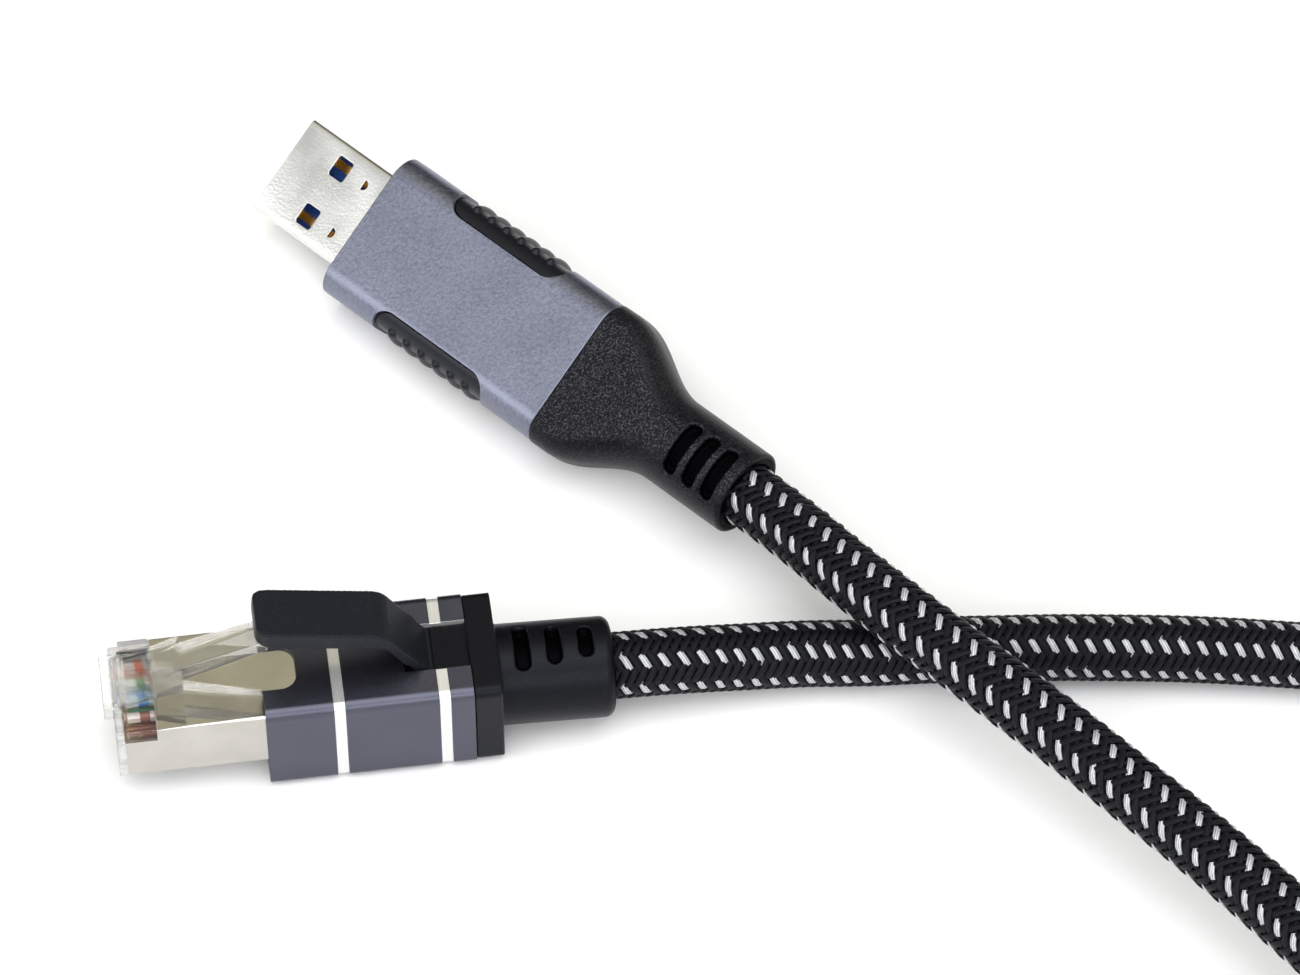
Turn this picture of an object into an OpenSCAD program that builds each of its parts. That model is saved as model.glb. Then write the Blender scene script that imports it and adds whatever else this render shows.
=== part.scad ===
// Braided network adapter cable: a flat serial-bus plug (the host plug) at one end, an eight-contact
// shielded network plug at the other, and one round braided cable between them, wound into a coil.
// Millimetres. +Z is up. The origin is the middle of the network plug housing's flat underside,
// and the network plug points along -X. The host plug lies on its lower edge beside it.

/* [Host plug] */
// Width of the metal plug shell
shell_w = 12; // [11.6:0.1:12.4]
// Thickness of the metal plug shell
shell_t = 4.5; // [4.3:0.1:5]
// Sheet thickness of the plug shell
shell_wall = 0.3; // [0.25:0.05:0.4]
// Length of shell that stands out of the sleeve
shell_out = 13; // [11.5:0.1:14]
// Length of shell held inside the sleeve
shell_in = 6.4; // [5:0.2:8]
// Length of each square window in the shell
window_l = 2.1; // [1.5:0.1:2.4]
// Width of each square window in the shell
window_w = 2.5; // [2:0.1:2.8]
// Distance from the plug mouth to the windows
window_x = 5.3; // [4.6:0.1:5.8]
// Distance from the plug's middle to the middle of a window
window_y = 3.2; // [2.8:0.1:3.5]
// Width of the metal sleeve
sleeve_w = 17.8; // [16.8:0.1:20]
// Thickness of the metal sleeve
sleeve_t = 8.5; // [8.3:0.1:10]
// Length of the metal sleeve
sleeve_l = 31; // [29:0.5:34]
// Corner radius of the sleeve
sleeve_r = 2.9; // [2.2:0.1:3.4]
// Wall of the sleeve
sleeve_wall = 1; // [0.8:0.05:1.1]
// Length of a side grip
grip_l = 16.2; // [15.8:0.1:17]
// Distance from the sleeve's front to a grip
grip_x = 7.6; // [7:0.1:9]
// Distance from the plug's middle to a grip's inner edge
grip_y = 6.4; // [6.25:0.05:6.6]
// Corner radius of a grip
grip_r = 2.2; // [1:0.1:2.3]
// Depth of the grip's surface below the sleeve
grip_sink = 0.35; // [0.2:0.05:0.5]
// Ribs on a grip
rib_count = 6; // [3:1:6]
// Distance between ribs
rib_pitch = 2.18; // [2:0.02:2.3]
// Thickness of a rib
rib_d = 1.1; // [1:0.1:1.4]
// Height of a rib above the sleeve's side
rib_proud = 0.25; // [0.1:0.05:0.4]
// Length of the part of the tail that narrows
tail_l = 13.2; // [11.2:0.5:15.2]
// Length of the round strain relief behind it
relief_l = 10.7; // [9.9:0.2:13.3]
// Diameter of the host plug's strain relief
relief_d = 9.9; // [9.4:0.1:11]
// Slots on each side of the host strain relief
relief_slots = 3; // [1:1:3]
// Distance between the slots
relief_pitch = 2.6; // [2.3:0.05:2.8]
// Width of a slot
relief_slot_w = 1.7; // [1:0.1:1.8]
// Length of a slot across the plug
relief_slot_l = 7; // [5:0.1:7.2]
// Distance from the last slot's middle to the end
relief_end = 2.3; // [1.9:0.1:2.8]

/* [Host electronics] */
// Length of the circuit board
board_l = 21.6; // [19:0.2:22]
// Width of the circuit board
board_w = 12.2; // [11:0.1:12.3]
// Thickness of the circuit board
board_t = 1; // [0.8:0.1:1.2]
// Side of the square controller chip
chip_w = 7; // [5:0.5:8]
// Height of the controller chip
chip_h = 0.85; // [0.6:0.05:1.1]
// Length of the network transformer
transformer_l = 10; // [8:0.5:11]
// Width of the network transformer
transformer_w = 7; // [6:0.5:8]
// Height of the network transformer
transformer_h = 1.6; // [1.2:0.1:1.6]

/* [Network plug] */
// Width of the clear plug body
body_w = 11.68; // [11.5:0.02:11.8]
// Height of the clear plug body
body_h = 8.1; // [7.9:0.1:8.2]
// Length of plug body in front of the housing
body_out = 15.7; // [14.7:0.1:17]
// Length of plug body inside the housing
body_in = 5.9; // [5:0.1:7]
// Distance from the housing's top down to the plug body
body_drop = 1.3; // [1.1:0.1:1.6]
// Sheet thickness of the plug's shield
shield_t = 0.25; // [0.2:0.01:0.3]
// Distance between neighbouring contacts
contact_pitch = 1.02; // [1:0.01:1.04]
// Thickness of a contact blade
contact_t = 0.3; // [0.25:0.01:0.34]
// Diameter of an insulated conductor
wire_d = 0.95; // [0.85:0.01:0.96]
// Width of the latch at its shoulders
latch_w = 6.1; // [5.6:0.1:6.3]
// Width of the latch's tab
tab_w = 3.25; // [2.8:0.05:3.4]
// Thickness of the tab at its tip
tab_tip_t = 1.4; // [1:0.05:1.6]

/* [Network housing] */
// Length of the metal housing
housing_l = 22; // [21:0.5:25]
// Height of the metal housing
housing_h = 13.1; // [12.9:0.1:14]
// Wall of the housing
housing_wall = 0.85; // [0.7:0.05:1]
// Corner radius of the housing
housing_r = 1.15; // [0.8:0.05:1.5]
// Width of a polished band
band_w = 1.2; // [0.8:0.05:1.5]
// Depth of a polished band
band_depth = 0.12; // [0.05:0.01:0.2]
// Distance from the housing's front to the front band
band_front = 7.2; // [6:0.1:9]
// Distance from the housing's front to the rear band
band_rear = 18.3; // [17:0.1:19]
// Width of the lever's slot in the housing
slot_w = 5.8; // [5.4:0.1:6]
// Length of the lever's slot
slot_l = 6.9; // [6.2:0.1:7]
// Width of the latch notch at the housing's front
notch_w = 6.6; // [6:0.1:7]
// Length of the latch notch
notch_l = 3.7; // [3.4:0.1:4.6]
// Radius of the latch notch's inner corners
notch_r = 1.7; // [0.5:0.1:2.5]

/* [Boot and lever] */
// Length of the boot's square collar
collar_l = 3; // [2:0.25:4]
// Step from the housing's faces down to the collar's
collar_step = 0.15; // [0:0.05:0.4]
// Diameter of the network plug's strain relief
boot_d = 10.8; // [10.4:0.1:11.2]
// Length of the network plug's strain relief
boot_l = 12.2; // [11:0.1:15]
// Height of the strain relief's middle at the collar
boot_z = 6.35; // [6.3:0.05:6.8]
// Downward slope of the strain relief
boot_sag = 3.1; // [0:0.1:4]
// Slots in the boot
boot_slots = 3; // [1:1:3]
// Distance between the boot's slots
boot_pitch = 3.4; // [3:0.1:3.6]
// Width of a slot in the boot
boot_slot_w = 1.6; // [1.2:0.1:1.8]
// Length of the first slot in the boot
boot_slot_l = 5.8; // [5:0.1:6.4]
// Depth of the strain reliefs' slots
slot_depth = 1; // [0.6:0.1:1.1]
// Width of the lever's pad
lever_w = 6; // [5.2:0.1:7]
// Length of the lever's pad
lever_l = 13.7; // [11.5:0.1:14]
// Thickness of the lever's pad
lever_t = 2.2; // [1.8:0.05:2.3]
// Height of the pad's rear edge above the housing
lever_rise = 6.9; // [6.7:0.1:7.8]
// Slope of the lever's pad
lever_tilt = 12; // [11:0.2:15]
// Thickness of the lever's riser
riser_t = 1.3; // [1:0.05:1.5]
// Radius of the lever's hinge knuckle
knuckle_r = 0.85; // [0.7:0.05:0.9]

/* [Cable] */
// Diameter of the cable over its braid
cable_d = 7.2; // [6.5:0.1:7.3]
// Diameter of the inner jacket under the crimp rings
jacket_d = 6.1; // [5.8:0.1:6.2]
// Length of a crimp ring
crimp_l = 3; // [2:0.25:3.5]
// Radius of the coil's outer turn
coil_r = 50.5; // [48:0.5:52]
// Space between neighbouring turns
turn_gap = 0.6; // [0.5:0.05:1]
// Width of the tie that holds the coil
tie_w = 12; // [8:1:16]
// Thickness of the tie
tie_t = 0.9; // [0.6:0.1:1.2]

/* [Hidden] */
$fn = 48;

fit = 0.05;              // clearance between pieces that are pushed together
past = 1;                // how far a cut runs past the surface that it opens
dent_r = 0.6;            // radius of the USB shell's half-round locking dents

// How the host plug lies: the place of its mouth, and how it is turned, tipped and rolled
host_at = [-0.7, 70.3];
host_turn = -49.5;
host_tip = 0.9;
host_roll = 30;
// The lowest corner of the sleeve's front edge touches the table
sleeve_reach = (sleeve_w/2 - sleeve_r)*sin(host_roll) + (sleeve_t/2 - sleeve_r)*cos(host_roll) + sleeve_r;
host_z = sleeve_reach*cos(host_tip) - shell_out*sin(host_tip);

// Host plug, measured from its mouth
sleeve_end = shell_out + sleeve_l;
tail_end = sleeve_end + tail_l + relief_l;
tongue_top = -0.1;
tongue_l = 11.5;
contact_strip_t = 0.15;
carrier_x = 12;
shell_end = shell_out + shell_in;
board_top = tongue_top - 0.1;
board_x = shell_end + fit;
board_end = board_x + board_l;
chip_x = board_x + 5.5;
crystal_size = [3.2, 2.5, 0.7];
capacitor_size = [1, 0.5, 0.5];
cavity_w = board_w - 0.4;
cavity_roof = board_top + 1.6;
wire_start = board_end - 1.5;
host_jacket_x = sleeve_end + 2.4;

// Network plug, measured from the housing's front
net_x = -housing_l/2;
housing_w = body_w + 2*fit + 2*housing_wall;
body_top = housing_h - body_drop;
body_z = body_top - body_h;
shield_front = 0.9 - body_out;
shield_step = 4.3 - body_out;
shield_floor = 6.5 - body_out;
row_low = body_z + 4;
row_high = row_low + 1.4;
wire_front = 1.3 - body_out;
contact_back = 5.6 - body_out;
guide_x = contact_back + 0.1;
guide_l = 4.1;
wire_bend_x = body_in + 0.4;
jacket_x = body_in + 6.1;
wire_stop = 0.3;         // how far the wires' slanted ends stop short of the jacket's face
boot_x = housing_l + collar_l;
boot_end = boot_x + boot_l*cos(boot_sag);
exit_z = boot_z - boot_l*sin(boot_sag);
sloped_d = cable_d - 0.06;
bore_gap = 0.05;         // room round the cable's end in the inner mould

// Latch hinge and lever hinge, in the plane y = 0
latch_hinge = [0.4 - body_out, body_top + 0.9];
latch_knuckle = 0.45;
hinge_gap = 0.1;
hump_top = body_top + 1.9;
nose_step = [1.1, 0.9];
latch_crease = [2.6 - body_out, body_top + 1.6];
latch_shoulder = [7.5 - body_out, body_top + 4];
shoulder_t = 1.7;
tab_root_h = 0.75;
neck_sink = 0.5;
// Room ahead of the riser's root, so that the pressed lever clears the slot's front
press_room = 1.3;
lever_hinge = [housing_l - slot_l + riser_t + press_room, housing_h - neck_sink - knuckle_r];
lever_heel = [lever_hinge[0] - 4.4, housing_h + lever_rise];
lever_tip = lever_heel + lever_l*[-cos(lever_tilt), sin(lever_tilt)];
lever_down = [-sin(lever_tilt), -cos(lever_tilt)];
// The latch's tab ends just under the tip of the lever's pad, and stays clear of it over the whole press
tab_set_back = 1.05;
tab_drop = 1.3;
tab_end = lever_tip + lever_t*lever_down + [tab_set_back, -tab_drop];
neck_w = slot_w - 0.3;

// Cable route: centre points of the two free stretches, chosen by hand
cable_r = cable_d/2;
lead_out = 7;
net_exit = [net_x + boot_end, 0, exit_z];
net_lead = lead_out*[cos(boot_sag), 0, -sin(boot_sag)];
net_route = [
    [40, 0.1, 4.5], [47, 0, 3.9], [54, -0.6, cable_r], [60.5, -1.1, cable_r], [67, -1.8, cable_r],
    [73.5, -2.5, cable_r], [80, -3.4, cable_r], [86.5, -4.4, cable_r], [93, -5.6, cable_r],
    [99.5, -7, cable_r], [113, -9.8, cable_r], [127, -12.8, cable_r], [141, -15.8, cable_r],
    [155, -18.8, cable_r]
];
host_lead = 3;
host_route = [
    [48.6, 11.8, 8.7], [52.6, 5.5, 9.9], [56.8, -0.6, 10.9], [61.1, -5.9, 11], [65.4, -10.9, 10.9],
    [69.6, -15.8, 10.7], [73.8, -20.8, 10.5], [77.9, -25.9, 10.3], [82, -30.9, 10.1], [86, -36.1, 10],
    [89.8, -41.4, 10], [97.5, -53, 10.2], [104.8, -65.3, 10.6]
];

// Coil: the cable spirals in on the table, climbs one layer and spirals out on top
coil_at = [166, -73];
turn_pitch = cable_d + turn_gap;
coil_start = 78;
coil_turns = 4.65;
rings_per_turn = 24;
coil_sides = 6;
run_sides = 12;
coil_steps = round(coil_turns*rings_per_turn);
coil_low = cable_r;
tie_angle = 143;
tie_press = 0.3;

function ease(t) = (1 - cos(180*min(max(t, 0), 1)))/2;
function mix(a, b, t) = a + (b - a)*t;
function unit(v) = v/norm(v);
function turned(p, a) = [p[0]*cos(a) - p[1]*sin(a), p[0]*sin(a) + p[1]*cos(a)];

// Where the line through p along d meets the line through q along e
function crossing(p, d, q, e) = p + d*(cross(q - p, e)/cross(d, e));

// Points of the round corner of radius r at b, on the way from a to c
function corner_arc(a, b, c, r) = let (
    u = unit(a - b),
    v = unit(c - b),
    half = acos(u*v)/2,
    middle = b + r/sin(half)*unit(u + v),
    start = b + r/tan(half)*u - middle,
    turn = sign(cross(v, u))*(180 - 2*half))
    [for (i = [0:6]) middle + turned(start, turn*i/6)];

// Radius, height and place of the coil's centre line, u turns from its start
function coil_radius(u) = coil_r - turn_pitch*(coil_turns/2 - abs(u - coil_turns/2));
function coil_height(u) = coil_low + turn_pitch*min(max((u - coil_turns/2)/0.5 + 0.5, 0), 1);
// The tie lifts the turns off the table by its own thickness
function tie_lift(a) = (tie_t - tie_press)*pow(max(cos(a - tie_angle), 0), 6);
function coil_point(u) = let (a = coil_start - 360*u, r = coil_radius(u))
    [coil_at[0] + r*cos(a), coil_at[1] + r*sin(a), coil_height(u) + tie_lift(a)];
function coil_heading(u) = let (a = coil_start - 360*u) [sin(a), -cos(a), 0];
coil_turned = [for (i = [0:coil_steps]) coil_point(coil_turns*i/coil_steps)];
coil_first = coil_turned[0] - cable_d*coil_heading(0);
coil_last = coil_turned[coil_steps] + cable_d*coil_heading(coil_turns);
coil_path = concat([coil_first], coil_turned, [coil_last]);

// Turns a point of the host plug into the assembly's frame
function roll_x(p, a) = [p[0], p[1]*cos(a) - p[2]*sin(a), p[1]*sin(a) + p[2]*cos(a)];
function tip_y(p, a) = [p[0]*cos(a) - p[2]*sin(a), p[1], p[0]*sin(a) + p[2]*cos(a)];
function turn_z(p, a) = [p[0]*cos(a) - p[1]*sin(a), p[0]*sin(a) + p[1]*cos(a), p[2]];
function host_point(p) = turn_z(tip_y(roll_x(p, host_roll), host_tip), host_turn)
    + [host_at[0], host_at[1], host_z];

host_exit = host_point([tail_end, 0, 0]);
net_path = concat([net_exit, net_exit + net_lead], net_route,
    [coil_first - lead_out*coil_heading(0), coil_first]);
host_path = concat([host_exit, host_point([tail_end + host_lead, 0, 0])], host_route,
    [coil_last + lead_out*coil_heading(coil_turns), coil_last]);

function path_length(p) = [for (i = [1:len(p) - 1]) norm(p[i] - p[i - 1])]*[for (i = [1:len(p) - 1]) 1];
coil_gap = min([for (i = [0:coil_steps]) for (j = [i + 12:1:coil_steps])
    norm(coil_turned[i] - coil_turned[j]) - cable_d]);
echo(coil_gap = coil_gap);
echo(cable_length = path_length(net_path) + path_length(coil_path) + path_length(host_path));
echo(host_exit = host_exit);

// ---- Shared shapes ----

// A rectangle with round corners, centred
module round_rect(w, h, r) {
    square([w - 2*r, h], center = true);
    square([w, h - 2*r], center = true);
    for (x = [-1, 1], y = [-1, 1])
        translate([x*(w/2 - r), y*(h/2 - r)])
            circle(r);
}

// Extrudes a y-z section along +X
module along_x(l) {
    rotate([90, 0, 90])
        linear_extrude(l)
            children();
}

// Extrudes an x-z outline across the plug, centred on y = 0
module across_y(w) {
    rotate([90, 0, 0])
        linear_extrude(w, center = true)
            children();
}

// A round bar along +X
module bar_x(d, l) {
    rotate([0, 90, 0])
        cylinder(h = l, d = d);
}

// A box from one corner to the opposite one
module block(a, b) {
    translate(a)
        cube(b - a);
}

// A round rod between two points
module rod(a, b, d) {
    v = b - a;
    translate(a)
        rotate([0, acos(v[2]/norm(v)), atan2(v[1], v[0])])
            cylinder(h = norm(v), d = d);
}

// A conductor with one bend: the part behind the bend is a little thinner
module wire(a, b, c) {
    rod(a, b, wire_d);
    rod(b - wire_d/4*unit(b - a), c, wire_d - 0.06);
}

// A round bar along +X whose far end has a rounded rim
module relief_bar(d, l, r) {
    rotate([0, 90, 0])
        rotate_extrude() {
            square([d/2, l - r]);
            square([d/2 - r, l]);
            translate([d/2 - r, l - r])
                intersection() {
                    circle(r);
                    square(r);
                }
        }
}

// A slot with round ends, cut down from z = 0
module slot_cut(w, l, depth) {
    translate([0, 0, -depth])
        linear_extrude(depth + past)
            round_rect(w, l, w/2 - 0.001);
}

// A tube of triangles along a list of points, square to the path at both ends
module tube(path, r, sides) {
    n = len(path);
    rings = [for (i = [0:n - 1]) let (
        t = unit(path[min(i + 1, n - 1)] - path[max(i - 1, 0)]),
        s = unit(cross([0, 0, 1], t)),
        u = cross(t, s))
        for (k = [0:sides - 1]) path[i] + r*(cos(90 + 360*k/sides)*s + sin(90 + 360*k/sides)*u)];
    walls = [for (i = [0:n - 2]) for (k = [0:sides - 1]) let (
        a = i*sides + k,
        b = i*sides + (k + 1)%sides)
        each [[a, a + sides, b], [b, a + sides, b + sides]]];
    last = (n - 1)*sides;
    caps = [for (k = [1:sides - 2]) each [[0, k, k + 1], [last, last + k + 1, last + k]]];
    polyhedron(concat(rings), concat(walls, caps));
}

// Places the host plug's pieces in the assembly
module at_host() {
    translate([host_at[0], host_at[1], host_z])
        rotate([host_roll, -host_tip, host_turn])
            children();
}

// Places the network plug's pieces in the assembly
module at_net() {
    translate([net_x, 0, 0])
        children();
}

// ---- Host plug ----

module shell_outline() {
    round_rect(shell_w, shell_t, 0.6);
}

module shell_inside(shrink) {
    round_rect(shell_w - 2*shell_wall - 2*shrink, shell_t - 2*shell_wall, 0.3);
}

// Folded steel shell with two windows in each broad face and two half-round locking dents
module host_shell() {
    color("#d8d8d2") at_host() difference() {
        along_x(shell_end)
            shell_outline();
        translate([-past, 0, 0])
            along_x(shell_end + 2*past)
                shell_inside(0);
        for (side = [-1, 1]) {
            translate([window_x + window_l/2, side*window_y, -shell_t])
                linear_extrude(2*shell_t)
                    round_rect(window_l, window_w, 0.3);
            translate([window_x + window_l + 2.3, side*window_y, 0])
                linear_extrude(shell_t)
                    intersection() {
                        circle(dent_r);
                        translate([0, -dent_r])
                            square([dent_r, 2*dent_r]);
                    }
        }
    }
}

power_y = [-3.5, -1, 1, 3.5];
fast_y = [-4.4, -2.25, 0, 2.25, 4.4];
power_w = 1;
fast_w = 0.6;
fast_x = 9.3;
fast_top = tongue_top + 0.45;
power_end = board_x + 0.8;
fast_end = board_x + 1.8;

module power_strips() {
    for (y = power_y)
        block([1.3, y - power_w/2, board_top], [power_end, y + power_w/2, board_top + contact_strip_t]);
}

module fast_strips() {
    for (y = fast_y)
        block([fast_x, y - fast_w/2, fast_top - contact_strip_t], [fast_end, y + fast_w/2, fast_top]);
}

// Blue tongue, lying against the lower wall of the shell
module host_tongue() {
    color("#1d4fa0") at_host() difference() {
        intersection() {
            along_x(carrier_x)
                shell_inside(fit);
            block([0.6, -shell_w/2, -shell_t/2], [carrier_x, shell_w/2, tongue_top]);
        }
        power_strips();
        block([fast_x - 0.4, -4.8, tongue_top - 0.001], [carrier_x + past, 4.8, tongue_top + past]);
    }
}

// Four long contacts for power and the slow data pair
module host_power_contacts() {
    color("#c9a24a") at_host()
        power_strips();
}

// Five raised spring contacts for the fast data pairs and their drain
module host_fast_contacts() {
    color("#d4b25c") at_host() {
        fast_strips();
        for (y = fast_y)
            block([fast_end - 0.4, y - fast_w/2, board_top], [fast_end, y + fast_w/2, fast_top - contact_strip_t]);
    }
}

// Moulded block that carries all nine contacts behind the tongue
module host_contact_carrier() {
    color("#20242c") at_host() difference() {
        translate([carrier_x, 0, 0])
            along_x(shell_end - carrier_x)
                shell_inside(fit);
        power_strips();
        fast_strips();
    }
}

// Green circuit board between the contacts and the cable
module host_circuit_board() {
    color("#1f6a3c") at_host()
        block([board_x, -board_w/2, board_top - board_t], [board_end, board_w/2, board_top]);
}

// Controller that turns serial-bus data into network data
module controller_chip() {
    color("#17181a") at_host()
        block([chip_x, -chip_w/2, board_top], [chip_x + chip_w, chip_w/2, board_top + chip_h]);
}

// Crystal can beside the controller
module clock_crystal() {
    color("#b9bcc0") at_host()
        translate([chip_x + chip_w + 0.8, 0.4, board_top])
            cube(crystal_size);
}

// Isolation transformer on the underside of the board
module network_transformer() {
    color("#202226") at_host()
        translate([board_x + 6, -transformer_w/2, board_top - board_t - transformer_h])
            cube([transformer_l, transformer_w, transformer_h]);
}

// Ceramic capacitors in two rows beside the controller
module board_capacitors() {
    color("#b59a72") at_host()
        for (side = [-1, 1], i = [0:3])
            translate([chip_x + 0.3 + i*1.7, side*(chip_w/2 + 1) - capacitor_size[1]/2, board_top])
                cube(capacitor_size);
}

// Eight conductors, four soldered to each side of the board
module host_end_wires() {
    color("#d8dade") at_host()
        for (side = [-1, 1], i = [-1.5:1:1.5]) {
            z = side > 0 ? board_top + wire_d/2 : board_top - board_t - wire_d/2;
            wire([wire_start, 2*i, z], [board_end + 0.3, 2*i, z],
                [host_jacket_x - wire_stop, i, side*0.75]);
        }
}

// Crimped ring that joins the cable's shield braid to the plug
module host_crimp_ring() {
    color("#b8bbc0") at_host()
        translate([host_jacket_x, 0, 0])
            crimp_ring();
}

module crimp_ring() {
    difference() {
        bar_x(cable_d, crimp_l);
        translate([-past, 0, 0])
            bar_x(jacket_d, crimp_l + 2*past);
    }
}

// The cable's own end: bare jacket under the crimp ring, then jacket and braid
module cable_stub(l) {
    bar_x(jacket_d, crimp_l);
    translate([crimp_l, 0, 0])
        bar_x(cable_d, l - crimp_l);
}

module host_cable_end() {
    color("#1b1b1e") at_host()
        translate([host_jacket_x, 0, 0])
            cable_stub(tail_end - host_jacket_x);
}

// Room for one grip: side is 1 on the far side and -1 on the near side
module grip_space(side, shrink) {
    l = grip_l - 2*shrink;
    w = 2*(sleeve_w/2 - grip_y - shrink);
    translate([shell_out + grip_x + grip_l/2, side*sleeve_w/2, -sleeve_t])
        linear_extrude(2*sleeve_t) {
            round_rect(l, w, grip_r);
            translate([0, side*grip_r])
                square([l, w], center = true);
        }
}

// Hard inner mould that fills the sleeve and holds the shell and the board
module host_inner_mould() {
    inner_w = sleeve_w - 2*sleeve_wall - 2*fit;
    inner_t = sleeve_t - 2*sleeve_wall - 2*fit;
    color("#2e2f33") at_host() difference() {
        translate([shell_out + 0.3, 0, 0])
            along_x(sleeve_l - 0.3)
                round_rect(inner_w, inner_t, sleeve_r - sleeve_wall);
        along_x(shell_end + fit)
            shell_outline();
        block([shell_end, -cavity_w/2, board_top - board_t - transformer_h - fit],
            [sleeve_end + past, cavity_w/2, cavity_roof]);
        block([board_x, -board_w/2, board_top - board_t], [sleeve_end + past, board_w/2, board_top]);
        for (side = [-1, 1])
            grip_space(side, 0);
    }
}

// Bead-blasted anodised sleeve with a window for each grip
module host_sleeve() {
    color("#8088a0") at_host() difference() {
        translate([shell_out, 0, 0])
            along_x(sleeve_l)
                round_rect(sleeve_w, sleeve_t, sleeve_r);
        translate([shell_out - past, 0, 0])
            along_x(sleeve_l + 2*past)
                round_rect(sleeve_w - 2*sleeve_wall, sleeve_t - 2*sleeve_wall, sleeve_r - sleeve_wall);
        for (side = [-1, 1])
            grip_space(side, 0);
    }
}

// Upright rib with round ends, bent a little round the grip
module rib() {
    rib_r = 8.65;
    rib_arc = 35;
    rotate([90, 0, 90])
        translate([-rib_r, 0, 0])
            rotate([0, 0, -rib_arc/2]) {
                rotate_extrude(angle = rib_arc)
                    translate([rib_r, 0])
                        circle(d = rib_d);
                for (a = [0, rib_arc])
                    rotate([0, 0, a])
                        translate([rib_r, 0, 0])
                            sphere(d = rib_d - 0.06);
            }
}

// One rubber grip: a sunk pad and a row of ribs across it
module grip(side) {
    union() {
        intersection() {
            grip_space(side, fit);
            along_x(sleeve_end)
                round_rect(sleeve_w - 2*grip_sink, sleeve_t - 2*grip_sink, sleeve_r - grip_sink);
        }
        for (i = [0:rib_count - 1])
            translate([shell_out + grip_x + grip_l/2 + (i - (rib_count - 1)/2)*rib_pitch,
                side*(sleeve_w/2 + rib_proud - rib_d/2), 0])
                rotate([side > 0 ? 0 : 180, 0, 0])
                    rib();
    }
}

module host_grip_near() {
    color("#25262a") at_host()
        grip(-1);
}

module host_grip_far() {
    color("#25262a") at_host()
        grip(1);
}

// Half width, half height and corner radius of the tail, t from 0 at the sleeve to 1 at the relief
tail_rings = 9;
corner_steps = 6;
tail_end_r = relief_d/2 - 0.08;
function tail_half_w(t) = mix(sleeve_w/2 + 0.1, tail_end_r, ease((t - 0.15)/0.85));
function tail_half_h(t) = mix(sleeve_t/2 + 0.05, tail_end_r, ease(t));
function tail_corner(t) = mix(sleeve_r, tail_end_r, ease(t));
function tail_ring(t) = let (
    w = tail_half_w(t),
    h = tail_half_h(t),
    r = min(tail_corner(t), w - 0.05, h - 0.05),
    x = sleeve_end + tail_l*t)
    [for (q = [0:3]) for (i = [0:corner_steps]) let (
        a = 90*q + 90*i/corner_steps,
        sy = q == 0 || q == 3 ? 1 : -1,
        sz = q < 2 ? 1 : -1)
        [x, sy*(w - r) + r*cos(a), sz*(h - r) + r*sin(a)]];

// Solid between a stack of rings that all have the same number of points
module skin(rings) {
    n = len(rings);
    m = len(rings[0]);
    walls = [for (i = [0:n - 2]) for (k = [0:m - 1]) let (
        a = i*m + k,
        b = i*m + (k + 1)%m)
        each [[a, a + m, b], [b, a + m, b + m]]];
    last = (n - 1)*m;
    caps = [for (k = [1:m - 2]) each [[0, k, k + 1], [last, last + k + 1, last + k]]];
    polyhedron([for (ring = rings) each ring], concat(walls, caps));
}

// Overmoulded tail that narrows from the sleeve to a slotted strain relief
module host_tail() {
    color("#2a2b30") at_host() difference() {
        union() {
            skin([for (i = [0:tail_rings]) tail_ring(i/tail_rings)]);
            translate([sleeve_end + tail_l - 0.2, 0, 0])
                relief_bar(relief_d, relief_l + 0.2, 0.6);
        }
        translate([sleeve_end - past, 0, 0])
            bar_x(cable_d, tail_l + relief_l + 2*past);
        for (side = [0, 180], i = [0:relief_slots - 1])
            rotate([side, 0, 0])
                translate([tail_end - relief_end - i*relief_pitch, 0, relief_d/2])
                    slot_cut(relief_slot_w, relief_slot_l, slot_depth);
    }
}

// ---- Network plug ----

pin_y = [for (i = [0:7]) (3.5 - i)*contact_pitch];
function pin_z(i) = i%2 == 0 ? row_high : row_low;

module wire_bores(x, l) {
    for (i = [0:7])
        translate([x, pin_y[i], pin_z(i)])
            bar_x(wire_d + fit, l);
}

// Clear plug body: contact slots in its nose, bores and a hollow for the wires, and the latch's root
module net_body() {
    inner_w = body_w - 2*shield_t;
    color([0.9, 0.93, 0.95, 0.5]) at_net() difference() {
        union() {
            block([-body_out, -body_w/2, body_z], [shield_front, body_w/2, body_top]);
            block([shield_front, -inner_w/2, body_z + shield_t], [body_in, inner_w/2, body_top - shield_t]);
            block([shield_front, -body_w/2, body_top - 2], [shield_step, body_w/2, body_top]);
            block([-body_out - 1, -latch_w/2, body_top - 1.3], [latch_hinge[0], latch_w/2, hump_top]);
            block([shield_front, -inner_w/2, body_z], [shield_floor, inner_w/2, body_z + 1]);
        }
        translate([latch_hinge[0], 0, latch_hinge[1]])
            rotate([90, 0, 0])
                cylinder(r = latch_knuckle + hinge_gap, h = body_w, center = true);
        block([latch_hinge[0], -body_w/2, body_top], [0, body_w/2, body_top + past]);
        for (side = [-1, 1])
            translate([-body_out - past, side*(latch_w + body_w)/2, body_top - nose_step[1]])
                linear_extrude(2)
                    translate([0, -body_w/2])
                        square([past + nose_step[0], body_w]);
        wire_bores(wire_front, guide_x - wire_front + past);
        block([guide_x, -4.6, row_low - 0.9], [body_in + past, 4.6, row_high + 0.9]);
        for (i = [0:7])
            block([-body_out - past, pin_y[i] - contact_t/2 - fit, body_z - past],
                [contact_back + fit, pin_y[i] + contact_t/2 + fit, pin_z(i)]);
    }
}

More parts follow.
